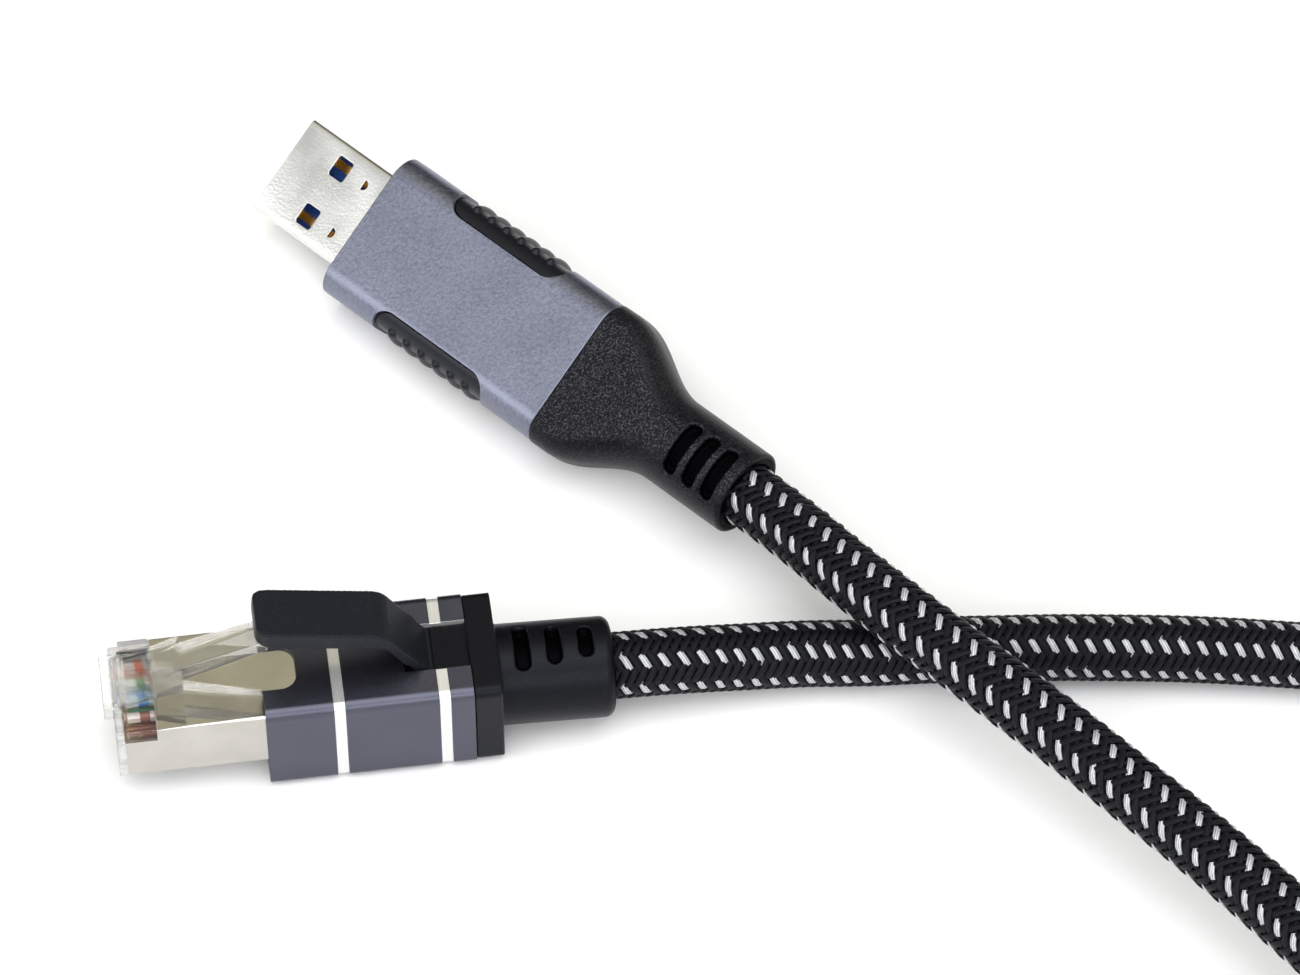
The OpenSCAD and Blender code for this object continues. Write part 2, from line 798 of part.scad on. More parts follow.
// Eight gold-plated blades, each under its own wire
module net_contacts() {
    color("#c9a24a") at_net()
        for (i = [0:7])
            translate([0, pin_y[i], 0])
                across_y(contact_t)
                    polygon([
                        [contact_back - 4.8, body_z + 0.9], [contact_back - 4.2, body_z + 0.45],
                        [contact_back, body_z + 0.45], [contact_back, pin_z(i) - wire_d/2 - fit],
                        [contact_back - 2.6, pin_z(i) - wire_d/2 - fit], [contact_back - 4.8, body_z + 2.6]
                    ]);
}

// Flexible latch: a wedge with two shoulders and a narrow release tab
module net_latch() {
    h = latch_hinge;
    color([0.92, 0.94, 0.95, 0.5]) at_net() union() {
        translate([h[0], 0, h[1]])
            rotate([90, 0, 0])
                cylinder(r = latch_knuckle, h = latch_w, center = true);
        across_y(latch_w)
            polygon([
                [h[0], h[1] - latch_knuckle], [latch_crease[0], h[1] + 0.05],
                [latch_shoulder[0], latch_shoulder[1] - shoulder_t], latch_shoulder, latch_crease,
                [h[0] + 0.4, latch_crease[1] + 0.15], [h[0], h[1] + latch_knuckle]
            ]);
        across_y(tab_w)
            polygon([
                [latch_shoulder[0] - 1.5, latch_shoulder[1] - shoulder_t],
                [latch_shoulder[0], latch_shoulder[1] - shoulder_t], [tab_end[0] + 0.5, tab_end[1] - tab_tip_t],
                tab_end, latch_shoulder + [0, tab_root_h], [latch_crease[0] + 2.4, latch_crease[1] + 1.1]
            ]);
    }
}

// Folded nickel-plated shield round the plug body, cut away in front for the wires and contacts
module net_shield() {
    color("#cfcac0") at_net() difference() {
        translate([shield_front, 0, body_z + body_h/2])
            along_x(body_in - shield_front)
                square([body_w, body_h], center = true);
        translate([shield_front - past, 0, body_z + body_h/2])
            along_x(body_in - shield_front + 2*past)
                square([body_w - 2*shield_t, body_h - 2*shield_t], center = true);
        block([shield_front - past, -body_w, body_top - 2], [shield_step, body_w, body_top + past]);
        block([shield_front - past, shield_t - body_w/2, body_z - past], [shield_floor, body_w/2 - shield_t, body_z + 1]);
    }
}

// Wire guide that keeps the eight conductors in two rows
module net_wire_guide() {
    color("#e6e8ea") at_net() difference() {
        block([guide_x + fit, -4.5, row_low - 0.85], [guide_x + guide_l, 4.5, row_high + 0.85]);
        wire_bores(guide_x - past, guide_l + 2*past);
    }
}

// One twisted pair's two conductors, from the plug's nose to the cable's jacket
module pair(pins) {
    for (i = pins)
        wire([wire_front, pin_y[i], pin_z(i)], [wire_bend_x, pin_y[i], pin_z(i)],
            [jacket_x - wire_stop, pin_y[i]/2, boot_z + (i%2 == 0 ? 0.75 : -0.75)]);
}

module pair_orange() {
    color("#e07a4a") at_net()
        pair([0, 1]);
}

module pair_green() {
    color("#3f9a68") at_net()
        pair([2, 5]);
}

module pair_blue() {
    color("#5a93c8") at_net()
        pair([3, 4]);
}

module pair_brown() {
    color("#8a5a48") at_net()
        pair([6, 7]);
}

// Crimped ring behind the plug, on the cable's shield braid
module net_crimp_ring() {
    color("#b8bbc0") at_net()
        translate([jacket_x, 0, boot_z])
            crimp_ring();
}

// Places things on the strain relief's own axis, from the collar's rear face
module on_boot_axis() {
    translate([boot_x, 0, boot_z])
        rotate([0, boot_sag, 0])
            children();
}

module net_cable_end() {
    color("#1b1b1e") at_net() union() {
        translate([jacket_x, 0, boot_z])
            cable_stub(boot_x - jacket_x);
        on_boot_axis()
            translate([-0.3, 0, 0])
                bar_x(sloped_d, boot_l + 0.3);
    }
}

// Hard inner mould that fills the housing round the plug's rear and the wires
module net_inner_mould() {
    inner_w = housing_w - 2*housing_wall - 2*fit;
    color("#2e2f33") at_net() difference() {
        block([0.6, -inner_w/2, housing_wall + fit], [housing_l, inner_w/2, housing_h - housing_wall - fit]);
        block([-past, -body_w/2, body_z], [body_in + fit, body_w/2, body_top]);
        block([body_in - past, -4.7, boot_z - 2.2], [jacket_x, 4.7, row_high + 1]);
        translate([jacket_x - fit, 0, boot_z])
            bar_x(cable_d + 2*bore_gap, housing_l);
        latch_notch(body_top, housing_h);
        block([housing_l - slot_l, -slot_w/2, lever_hinge[1] - knuckle_r - 0.2], [housing_l + past, slot_w/2, housing_h]);
    }
}

// Notch in the middle of the housing's front edge, with round inner corners
module latch_notch(from, to) {
    translate([0, 0, from])
        linear_extrude(to - from)
            round_rect(2*notch_l, notch_w, notch_r);
}

module housing_section(shrink) {
    translate([0, housing_h/2])
        round_rect(housing_w - 2*shrink, housing_h - 2*shrink, housing_r - shrink);
}

// Square anodised housing with two polished bands, a latch notch in front and a lever slot behind
module net_housing() {
    color("#5c5c6c") at_net() difference() {
        along_x(housing_l)
            housing_section(0);
        translate([-past, 0, 0])
            along_x(housing_l + 2*past)
                translate([0, housing_h/2])
                    square([housing_w - 2*housing_wall, housing_h - 2*housing_wall], center = true);
        for (x = [band_front, band_rear])
            translate([x, 0, 0])
                along_x(band_w)
                    difference() {
                        housing_section(-past/2);
                        housing_section(band_depth);
                    }
        block([housing_l - slot_l, -slot_w/2, housing_h/2], [housing_l + past, slot_w/2, housing_h + past]);
        latch_notch(housing_h/2, housing_h + past);
    }
}

// Overmoulded boot: a square collar, a slotted strain relief and the neck that carries the lever
module net_boot() {
    neck_x = lever_hinge[0] + 0.3;
    color("#26272b") at_net() difference() {
        union() {
            translate([housing_l, 0, collar_step])
                along_x(collar_l)
                    translate([0, housing_h/2 - collar_step])
                        round_rect(housing_w - 2*collar_step, housing_h - 2*collar_step, housing_r - collar_step);
            on_boot_axis()
                translate([-0.5, 0, 0])
                    relief_bar(boot_d, boot_l + 0.5, 1);
            block([neck_x, -neck_w/2, lever_hinge[1] - knuckle_r], [housing_l + 0.5, neck_w/2, lever_hinge[1] + knuckle_r]);
        }
        translate([housing_l - past, 0, boot_z])
            bar_x(cable_d, collar_l + past);
        on_boot_axis()
            translate([-0.3, 0, 0])
                bar_x(sloped_d, boot_l + 0.3 + past);
        translate([lever_hinge[0], 0, lever_hinge[1]])
            rotate([90, 0, 0])
                cylinder(r = knuckle_r + hinge_gap, h = 2*slot_w, center = true);
        on_boot_axis()
            for (i = [0:boot_slots - 1])
                translate([2.4 + i*boot_pitch, 0, boot_d/2])
                    slot_cut(boot_slot_w, boot_slot_l - i, slot_depth);
    }
}

// Thumb lever that bends down at the neck and presses the latch's tab
module net_lever() {
    h = lever_hinge;
    tip = lever_tip;
    under = tip + lever_t*lever_down;
    foot = [h[0] + 0.1, h[1] + knuckle_r];
    fall = unit(foot - lever_heel);
    inner_foot = foot + riser_t*[fall[1], -fall[0]];
    inner_heel = crossing(under, lever_heel - tip, inner_foot, fall);
    outline = concat([tip], corner_arc(tip, lever_heel, foot, 2.4), [foot, inner_foot],
        corner_arc(inner_foot, inner_heel, under, 2), [under]);
    ledge = housing_h + 1.2;
    front = tip[0] + lever_t*lever_down[0]/2;
    back = h[0] + 2;
    color("#26272b") at_net() union() {
        intersection() {
            across_y(lever_w)
                polygon(outline);
            translate([(front + back)/2, 0, ledge])
                linear_extrude(2*lever_rise)
                    round_rect(back - front, lever_w, 1.5);
        }
        intersection() {
            across_y(neck_w)
                polygon(outline);
            block([tip[0], -neck_w/2, h[1] - knuckle_r], [h[0] + 1, neck_w/2, ledge + 0.5]);
        }
        across_y(neck_w)
            polygon([foot, h, inner_foot + [0.1, -0.4], inner_foot]);
        translate([h[0], 0, h[1]])
            rotate([90, 0, 0])
                cylinder(r = knuckle_r, h = neck_w, center = true);
    }
}

// ---- Cable ----

module cable_net_run() {
    color("#1b1b1e")
        tube(net_path, cable_r, run_sides);
}

module cable_host_run() {
    color("#1b1b1e")
        tube(host_path, cable_r, run_sides);
}

module cable_coil() {
    color("#232326")
        tube(coil_path, cable_r, coil_sides);
}

// Hook-and-loop tie, drawn tight round the coil's turns
module coil_tie() {
    tied = (coil_start - tie_angle)/360 + 1;
    outer = coil_radius(tied) + cable_r - tie_press;
    inner = coil_radius(tied + 1) - cable_r + tie_press;
    height = 2*cable_d + turn_gap - 2*tie_press + 2*tie_t;
    color("#2b2c30") translate([coil_at[0], coil_at[1], 0])
        rotate([0, 0, tie_angle])
            translate([(inner + outer)/2, 0, height/2])
                across_y(tie_w)
                    difference() {
                        round_rect(outer - inner + 2*tie_t, height, 3);
                        round_rect(outer - inner, height - 2*tie_t, 3 - tie_t);
                    }
}

host_shell();
host_tongue();
host_power_contacts();
host_fast_contacts();
host_contact_carrier();
host_circuit_board();
controller_chip();
clock_crystal();
network_transformer();
board_capacitors();
host_end_wires();
host_crimp_ring();
host_cable_end();
host_inner_mould();
host_sleeve();
host_grip_near();
host_grip_far();
host_tail();
net_body();
net_latch();
net_shield();
net_contacts();
net_wire_guide();
pair_orange();
pair_green();
pair_blue();
pair_brown();
net_crimp_ring();
net_cable_end();
net_inner_mould();
net_housing();
net_boot();
net_lever();
cable_net_run();
cable_coil();
cable_host_run();
coil_tie();
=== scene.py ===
import math

import bmesh
import bpy
from mathutils import Matrix, Vector


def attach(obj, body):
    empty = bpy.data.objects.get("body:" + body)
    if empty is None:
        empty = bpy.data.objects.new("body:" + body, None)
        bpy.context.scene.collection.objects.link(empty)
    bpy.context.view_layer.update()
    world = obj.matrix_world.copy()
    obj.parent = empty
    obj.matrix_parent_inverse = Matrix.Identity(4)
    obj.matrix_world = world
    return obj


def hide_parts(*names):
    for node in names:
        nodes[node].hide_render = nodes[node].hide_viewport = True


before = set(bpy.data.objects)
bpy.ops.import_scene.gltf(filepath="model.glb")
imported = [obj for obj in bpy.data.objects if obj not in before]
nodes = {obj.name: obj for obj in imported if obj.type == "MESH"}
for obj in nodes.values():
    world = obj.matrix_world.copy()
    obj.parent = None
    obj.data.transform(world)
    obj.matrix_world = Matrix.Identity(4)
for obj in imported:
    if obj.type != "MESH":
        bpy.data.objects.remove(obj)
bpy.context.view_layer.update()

# ---- Camera, floor and light ----
# A long lens looks down on both plugs from the network plug's side, so lines stay almost parallel.
# The floor is plain white card, lit by wide soft boxes. The room behind them runs from white to
# grey, with one warm strip, because that is what the polished metal reflects.
mm = 0.001
main_body = "cable_and_plugs"
aim = Vector((33.9, 26.5, 0))*mm
stand_off = Vector((-58.3, -439.2, 623.0))*mm
lens = bpy.data.cameras.new("product_camera")
lens.lens = 193.9
lens.sensor_width = 36
lens.clip_start = 0.01
lens.clip_end = 20
camera = bpy.data.objects.new("product_camera", lens)
camera.location = aim + stand_off
camera.rotation_euler = (-stand_off).to_track_quat("-Z", "Y").to_euler()
bpy.context.scene.collection.objects.link(camera)
bpy.context.scene.camera = camera
bpy.context.scene.view_settings.view_transform = "Standard"


def add_node(tree, kind, inputs=None, **settings):
    node = tree.nodes.new(kind)
    for name, value in settings.items():
        setattr(node, name, value)
    for key, value in (inputs or {}).items():
        if isinstance(value, bpy.types.NodeSocket):
            tree.links.new(value, node.inputs[key])
        else:
            node.inputs[key].default_value = value
    return node


def colour(code):
    parts = [int(code[i:i + 2], 16)/255 for i in (1, 3, 5)]
    return [p/12.92 if p <= 0.04045 else ((p + 0.055)/1.055)**2.4 for p in parts] + [1]


def new_material(name):
    material = bpy.data.materials.new(name)
    material.use_nodes = True
    material.node_tree.nodes.clear()
    return material, material.node_tree


def surface(tree, inputs):
    shader = add_node(tree, "ShaderNodeBsdfPrincipled", inputs)
    add_node(tree, "ShaderNodeOutputMaterial", {"Surface": shader.outputs[0]})


def add_piece(name, mesh, materials):
    for material in materials:
        mesh.materials.append(material)
    piece = bpy.data.objects.new(name, mesh)
    bpy.context.scene.collection.objects.link(piece)
    return piece


def ramp(tree, factor, dark, light, low=0.0, high=1.0):
    tone = add_node(tree, "ShaderNodeValToRGB", {"Fac": factor})
    for element, position, code in zip(tone.color_ramp.elements, (low, high), (dark, light)):
        element.position = position
        element.color = colour(code)
    return tone.outputs[0]


# Matt card: a soft white with no gloss, so the floor shows only shadows
card, tree = new_material("matt_white_card")
fibre = add_node(tree, "ShaderNodeTexNoise", {"Scale": 900.0, "Detail": 3.0})
surface(tree, {"Base Color": ramp(tree, fibre.outputs[0], "#f6f6f6", "#fdfdfd"), "Roughness": 0.85,
               "Specular IOR Level": 0.1})
floor_half, floor_drop = 3, 0.0002
floor_mesh = bpy.data.meshes.new("floor_card")
floor_mesh.from_pydata([(x*floor_half, y*floor_half, -floor_drop)
                        for x, y in ((-1, -1), (1, -1), (1, 1), (-1, 1))], [], [(0, 1, 2, 3)])
add_piece("floor_card", floor_mesh, [card])


def soft_box(name, place, look_at, size, power):
    light = bpy.data.lights.new(name, "AREA")
    light.shape = "RECTANGLE"
    light.size, light.size_y = size
    light.energy = power
    lamp = bpy.data.objects.new(name, light)
    lamp.location = place
    lamp.rotation_euler = (Vector(look_at) - Vector(place)).to_track_quat("-Z", "Y").to_euler()
    bpy.context.scene.collection.objects.link(lamp)


soft_box("soft_box_top", (0.1, -0.15, 1.3), (0.04, 0.02, 0), (1.4, 1.0), 11)
soft_box("soft_box_left", (-1.1, -0.3, 0.7), (0.02, 0.02, 0), (0.8, 0.8), 5)
soft_box("soft_box_front", (0.12, -1.1, 0.8), (0.03, 0.02, 0), (1.0, 0.6), 5)

world = bpy.data.worlds.new("studio_room")
world.use_nodes = True
bpy.context.scene.world = world
tree = world.node_tree
tree.nodes.clear()
direction = add_node(tree, "ShaderNodeTexCoord")
split = add_node(tree, "ShaderNodeSeparateXYZ", {0: direction.outputs["Generated"]})
depth = add_node(tree, "ShaderNodeMapRange",
                 {"Value": split.outputs["Y"], "From Min": -1.0, "From Max": 1.0})
room = add_node(tree, "ShaderNodeValToRGB", {"Fac": depth.outputs[0]})
room.color_ramp.elements[0].color = colour("#f4f4f6")
room.color_ramp.elements[1].color = colour("#4c4c50")
for place, code in ((0.5, "#cfd0d4"), (0.78, "#d6d1b8"), (0.9, "#5c5c60")):
    room.color_ramp.elements.new(place).color = colour(code)
background = add_node(tree, "ShaderNodeBackground", {"Color": room.outputs[0], "Strength": 1.0})
add_node(tree, "ShaderNodeOutputWorld", {"Surface": background.outputs[0]})

# ---- Braided cable ----
# A round PVC jacket under a tubular braid of twenty-four polyester yarns. Every second yarn of
# the right-hand set is silver, the others are black. It is braided straight onto the jacket.
host_turn, host_tip, host_roll = -49.5, 0.9, 30.0
sleeve_w, sleeve_t, sleeve_r, shell_out, sleeve_l = 17.8, 8.5, 2.9, 13.0, 31.0
tail_l, relief_l, relief_d = 13.2, 10.7, 9.9
sleeve_end = shell_out + sleeve_l
tail_end = sleeve_end + tail_l + relief_l
roll, tip = math.radians(host_roll), math.radians(host_tip)
reach = (sleeve_w/2 - sleeve_r)*math.sin(roll) + (sleeve_t/2 - sleeve_r)*math.cos(roll) + sleeve_r
host_place = (Matrix.Translation(Vector((-0.7, 70.3, reach*math.cos(tip) - shell_out*math.sin(tip))))
              @ Matrix.Rotation(math.radians(host_turn), 4, "Z") @ Matrix.Rotation(-tip, 4, "Y")
              @ Matrix.Rotation(roll, 4, "X"))

cable_d, turn_gap = 7.2, 0.6
cable_r = cable_d/2
boot_x, boot_z, boot_l, boot_sag = 14.0, 6.35, 12.2, math.radians(3.1)
boot_axis = Vector((math.cos(boot_sag), 0, -math.sin(boot_sag)))
boot_root = Vector((boot_x, 0, boot_z))
net_exit = boot_root + boot_l*boot_axis
net_route = [
    (40, 0.1, 4.5), (47, 0, 3.9), (54, -0.6, cable_r), (60.5, -1.1, cable_r), (67, -1.8, cable_r),
    (73.5, -2.5, cable_r), (80, -3.4, cable_r), (86.5, -4.4, cable_r), (93, -5.6, cable_r),
    (99.5, -7, cable_r), (113, -9.8, cable_r), (127, -12.8, cable_r), (141, -15.8, cable_r),
    (155, -18.8, cable_r)]
host_route = [
    (48.6, 11.8, 8.7), (52.6, 5.5, 9.9), (56.8, -0.6, 10.9), (61.1, -5.9, 11), (65.4, -10.9, 10.9),
    (69.6, -15.8, 10.7), (73.8, -20.8, 10.5), (77.9, -25.9, 10.3), (82, -30.9, 10.1), (86, -36.1, 10),
    (89.8, -41.4, 10), (97.5, -53, 10.2), (104.8, -65.3, 10.6)]
coil_x, coil_y, coil_r, coil_start, coil_turns = 166.0, -73.0, 50.5, 78.0, 4.65
turn_pitch = cable_d + turn_gap
tie_angle, tie_t, tie_press = 143.0, 0.9, 0.3
coil_steps = round(coil_turns*24)
lead, line_step = 7, 1.3


def coil_radius(turn):
    return coil_r - turn_pitch*(coil_turns/2 - abs(turn - coil_turns/2))


def coil_point(turn):
    angle = math.radians(coil_start - 360*turn)
    climb = cable_r + turn_pitch*min(max((turn - coil_turns/2)/0.5 + 0.5, 0), 1)
    lift = (tie_t - tie_press)*max(math.cos(angle - math.radians(tie_angle)), 0)**6
    radius = coil_radius(turn)
    return Vector((coil_x + radius*math.cos(angle), coil_y + radius*math.sin(angle), climb + lift))


def coil_heading(turn):
    angle = math.radians(coil_start - 360*turn)
    return Vector((math.sin(angle), -math.cos(angle), 0))


coil_first = coil_point(0) - cable_d*coil_heading(0)
coil_last = coil_point(coil_turns) + cable_d*coil_heading(coil_turns)
host_bore = [host_place @ Vector((x, 0, 0))
             for x in (sleeve_end + 2.4, sleeve_end + 8, tail_end - lead, tail_end)]
stations = [Vector((1, 0, boot_z)), Vector((5, 0, boot_z)), Vector((10, 0, boot_z)), boot_root,
            boot_root + boot_l/2*boot_axis, net_exit, net_exit + lead*boot_axis]
stations += [Vector(p) for p in net_route] + [coil_first - lead*coil_heading(0), coil_first]
stations += [coil_point(coil_turns*i/coil_steps) for i in range(coil_steps + 1)]
stations += [coil_last, coil_last + lead*coil_heading(coil_turns)] + [Vector(p) for p in reversed(host_route)]
stations += [host_place @ Vector((tail_end + 3, 0, 0))] + host_bore[::-1]


def smooth_line(points, step):
    """A smooth curve through all the points, with about one new point every step"""
    line = []
    for i in range(len(points) - 1):
        before, here = points[max(i - 1, 0)], points[i]
        there, after = points[i + 1], points[min(i + 2, len(points) - 1)]
        span = (there - here).length
        lead = (there - before)*(span/max((there - before).length, 1e-6))
        trail = (after - here)*(span/max((after - here).length, 1e-6))
        count = max(1, round(span/step))
        for k in range(count):
            t = k/count
            line.append(here*(2*t**3 - 3*t**2 + 1) + lead*(t**3 - 2*t**2 + t)
                        + there*(3*t**2 - 2*t**3) + trail*(t**3 - t**2))
    return line + [points[-1]]


cable_line = [p*mm for p in smooth_line(stations, line_step)]
runs = [0.0]
for a, b in zip(cable_line, cable_line[1:]):
    runs.append(runs[-1] + (b - a).length)


def line_station(point):
    """Length along the cable to the place nearest to a point"""
    target = Vector(point)*mm
    return runs[min(range(len(cable_line)), key=lambda i: (cable_line[i] - target).length)]


def grained(name, dark, light, grain, depth, finish):
    """A surface with a fine grain: its width and depth are in millimetres"""
    material, tree = new_material(name)
    place = add_node(tree, "ShaderNodeTexCoord").outputs["Object"]
    spots = add_node(tree, "ShaderNodeTexNoise", {"Vector": place, "Scale": 1/(grain*mm), "Detail": 3.0})
    dent = add_node(tree, "ShaderNodeBump",
                    {"Height": spots.outputs[0], "Strength": 0.5, "Distance": depth*mm})
    surface(tree, {"Base Color": ramp(tree, spots.outputs[0], dark, light, 0.3, 0.7),
                   "Normal": dent.outputs[0]} | finish)
    return material


# Extruded PVC: nearly black and half matt, seen only as the dark between the yarns
jacket_black = grained("extruded_pvc_jacket_black", "#0b0b0e", "#121216", 0.4, 0.02, {"Roughness": 0.6})

core_r = 2.98
core_curve = bpy.data.curves.new("cable_core", "CURVE")
core_curve.dimensions = "3D"
spline = core_curve.splines.new("POLY")
spline.points.add(len(cable_line) - 1)
for point, place in zip(spline.points, cable_line):
    point.co = (*place, 1)
core_curve.bevel_depth = core_r*mm
core_curve.bevel_resolution = 3
core_curve.use_fill_caps = True
cable_core = add_piece("cable_core", core_curve, [jacket_black])


def yarn_material(name, dark, light, gloss, metallic, shine):
    material, tree = new_material(name)
    laid_map = add_node(tree, "ShaderNodeUVMap", uv_map="UVMap").outputs[0]
    across = add_node(tree, "ShaderNodeSeparateXYZ", {0: laid_map})
    strands = add_node(tree, "ShaderNodeMath", {0: across.outputs["Y"], 1: ridge_wave},
                       operation="MULTIPLY")
    wander = add_node(tree, "ShaderNodeTexNoise", {"Vector": laid_map, "Scale": 3.0})
    drift = add_node(tree, "ShaderNodeMath", {0: wander.outputs[0], 1: 4.0, 2: strands.outputs[0]},
                     operation="MULTIPLY_ADD")
    ridge = add_node(tree, "ShaderNodeMath", {0: drift.outputs[0]}, operation="SINE")
    level = add_node(tree, "ShaderNodeMapRange",
                     {"Value": ridge.outputs[0], "From Min": -1.0, "From Max": 1.0})
    dent = add_node(tree, "ShaderNodeBump",
                    {"Height": level.outputs[0], "Strength": 0.6, "Distance": 0.04*mm})
    surface(tree, {"Base Color": ramp(tree, level.outputs[0], dark, light), "Roughness": gloss,
                   "Metallic": metallic, "Specular IOR Level": shine, "Normal": dent.outputs[0]})
    return material


# Polyester filament yarn: fine parallel threads. Only three are drawn over a yarn's width, 0.3 mm
# apart, so that they still show
ridge_wave = 19.0
yarn_black_and_painted_shade = yarn_material("braided_polyester_black_and_painted_shade", "#05050a", "#101119", 0.55, 0.0, 0.17)
yarn_silver = yarn_material("braided_polyester_silver", "#8f9196", "#d2d3d6", 0.34, 0.3, 0.5)

# Each yarn winds round the cable's line, half of them each way, and goes over two and under two of
# the other half. It dives quickly. A silver one is narrower, and lies low for longer
carriers = 24
crossings, half_cell = carriers/4, 1/(2*carriers)
dive, silver_low, spread, silver_spread = 1.8, -0.86, 1.32, -0.26
braid = bpy.data.node_groups.new("tubular_braid", "GeometryNodeTree")
for label, kind in (
        ("Line", "Geometry"), ("From", "Float"), ("To", "Float"), ("Outer Radius", "Float"),
        ("Pitch", "Float"), ("Carriers", "Int"), ("Points", "Int"), ("Yarn Width", "Float"),
        ("Yarn Thickness", "Float"), ("Yarn Sides", "Int"), ("Weave Height", "Float"),
        ("Phase", "Float"), ("Twist", "Float")):
    braid.interface.new_socket(label, in_out="INPUT", socket_type="NodeSocket" + kind)
braid.interface.new_socket("Yarns", in_out="OUTPUT", socket_type="NodeSocketGeometry")
size = add_node(braid, "NodeGroupInput").outputs
guide = add_node(braid, "GeometryNodeMeshToCurve", {0: size["Line"]})
guide = add_node(braid, "GeometryNodeSetCurveNormal", {0: guide.outputs[0]}, mode="Z_UP")
straight = add_node(braid, "GeometryNodeCurvePrimitiveLine")
straight = add_node(braid, "GeometryNodeResampleCurve",
                    {"Curve": straight.outputs[0], "Count": size["Points"]})
yarns = add_node(braid, "GeometryNodeDuplicateElements",
                 {"Geometry": straight.outputs[0], "Amount": size["Carriers"]}, domain="SPLINE")
half = add_node(braid, "ShaderNodeMath", {0: size["Carriers"], 1: 2.0}, operation="DIVIDE")
right = add_node(braid, "ShaderNodeMath", {0: yarns.outputs[1], 1: half.outputs[0]}, operation="LESS_THAN")
hand = add_node(braid, "ShaderNodeMath", {0: right.outputs[0], 1: 2.0, 2: -1.0}, operation="MULTIPLY_ADD")
number = add_node(braid, "ShaderNodeMath", {0: yarns.outputs[1], 1: half.outputs[0]}, operation="MODULO")
even = add_node(braid, "ShaderNodeMath", {0: number.outputs[0], 1: 2.0}, operation="MODULO")
even = add_node(braid, "ShaderNodeMath", {0: even.outputs[0], 1: 0.5}, operation="LESS_THAN")
bright = add_node(braid, "ShaderNodeMath", {0: even.outputs[0], 1: right.outputs[0]}, operation="MULTIPLY")
part = add_node(braid, "GeometryNodeSplineParameter")
span = add_node(braid, "ShaderNodeMath", {0: size["To"], 1: size["From"]}, operation="SUBTRACT")
along = add_node(braid, "ShaderNodeMath", {0: part.outputs[0], 1: span.outputs[0], 2: size["From"]},
                 operation="MULTIPLY_ADD")
turned = add_node(braid, "ShaderNodeMath", {0: along.outputs[0], 1: size["Pitch"]}, operation="DIVIDE")
turned = add_node(braid, "ShaderNodeMath", {0: turned.outputs[0], 1: hand.outputs[0]}, operation="MULTIPLY")
first = add_node(braid, "ShaderNodeMath", {0: number.outputs[0], 1: half.outputs[0]}, operation="DIVIDE")
offset = add_node(braid, "ShaderNodeMath", {0: hand.outputs[0], 1: -half_cell, 2: half_cell},
                  operation="MULTIPLY_ADD")
total = add_node(braid, "ShaderNodeMath", {0: turned.outputs[0], 1: first.outputs[0]})
total = add_node(braid, "ShaderNodeMath", {0: total.outputs[0], 1: offset.outputs[0]})
angle = add_node(braid, "ShaderNodeMath", {0: total.outputs[0], 1: math.tau}, operation="MULTIPLY")
weave = add_node(braid, "ShaderNodeMath", {0: angle.outputs[0], 1: crossings}, operation="MULTIPLY")
weave = add_node(braid, "ShaderNodeMath", {0: weave.outputs[0]}, operation="SINE")
weave = add_node(braid, "ShaderNodeMath", {0: weave.outputs[0], 1: dive}, operation="MULTIPLY")
weave = add_node(braid, "ShaderNodeMath", {0: bright.outputs[0], 1: silver_low, 2: weave.outputs[0]},
                 operation="MULTIPLY_ADD")
weave = add_node(braid, "ShaderNodeClamp", {"Value": weave.outputs[0], "Min": -1.0, "Max": 1.0})
weave = add_node(braid, "ShaderNodeMath", {0: weave.outputs[0], 1: hand.outputs[0]}, operation="MULTIPLY")
sunk = add_node(braid, "ShaderNodeMath", {0: weave.outputs[0], 1: 0.0}, operation="MINIMUM")
sunk = add_node(braid, "ShaderNodeMath", {0: sunk.outputs[0], 1: bright.outputs[0], 2: -1.0},
                operation="MULTIPLY_ADD")
raised = add_node(braid, "ShaderNodeMath", {0: weave.outputs[0], 1: sunk.outputs[0]}, operation="ADD")
raised = add_node(braid, "ShaderNodeMath",
                  {0: raised.outputs[0], 1: size["Weave Height"], 2: size["Outer Radius"]},
                  operation="MULTIPLY_ADD")
bore = add_node(braid, "ShaderNodeMath", {0: size["Yarn Thickness"], 1: -0.5, 2: raised.outputs[0]},
                operation="MULTIPLY_ADD")
at = add_node(braid, "GeometryNodeSampleCurve", {"Curves": guide.outputs[0], "Length": along.outputs[0]},
              mode="LENGTH")
side = add_node(braid, "ShaderNodeVectorMath", {0: at.outputs["Tangent"], 1: at.outputs["Normal"]},
                operation="CROSS_PRODUCT")
twisted = add_node(braid, "ShaderNodeMath", {0: along.outputs[0], 1: size["Twist"], 2: size["Phase"]},
                   operation="MULTIPLY_ADD")
angle = add_node(braid, "ShaderNodeMath", {0: angle.outputs[0], 1: twisted.outputs[0]})
cosine = add_node(braid, "ShaderNodeMath", {0: angle.outputs[0]}, operation="COSINE")
sine = add_node(braid, "ShaderNodeMath", {0: angle.outputs[0]}, operation="SINE")
upward = add_node(braid, "ShaderNodeVectorMath", {0: at.outputs["Normal"], "Scale": cosine.outputs[0]},
                  operation="SCALE")
sideward = add_node(braid, "ShaderNodeVectorMath", {0: side.outputs[0], "Scale": sine.outputs[0]},
                    operation="SCALE")
outward = add_node(braid, "ShaderNodeVectorMath", {0: upward.outputs[0], 1: sideward.outputs[0]})
shift = add_node(braid, "ShaderNodeVectorMath", {0: outward.outputs[0], "Scale": bore.outputs[0]},
                 operation="SCALE")
place = add_node(braid, "ShaderNodeVectorMath", {0: at.outputs["Position"], 1: shift.outputs[0]})
laid = add_node(braid, "GeometryNodeSetPosition",
                {"Geometry": yarns.outputs[0], "Position": place.outputs[0]})
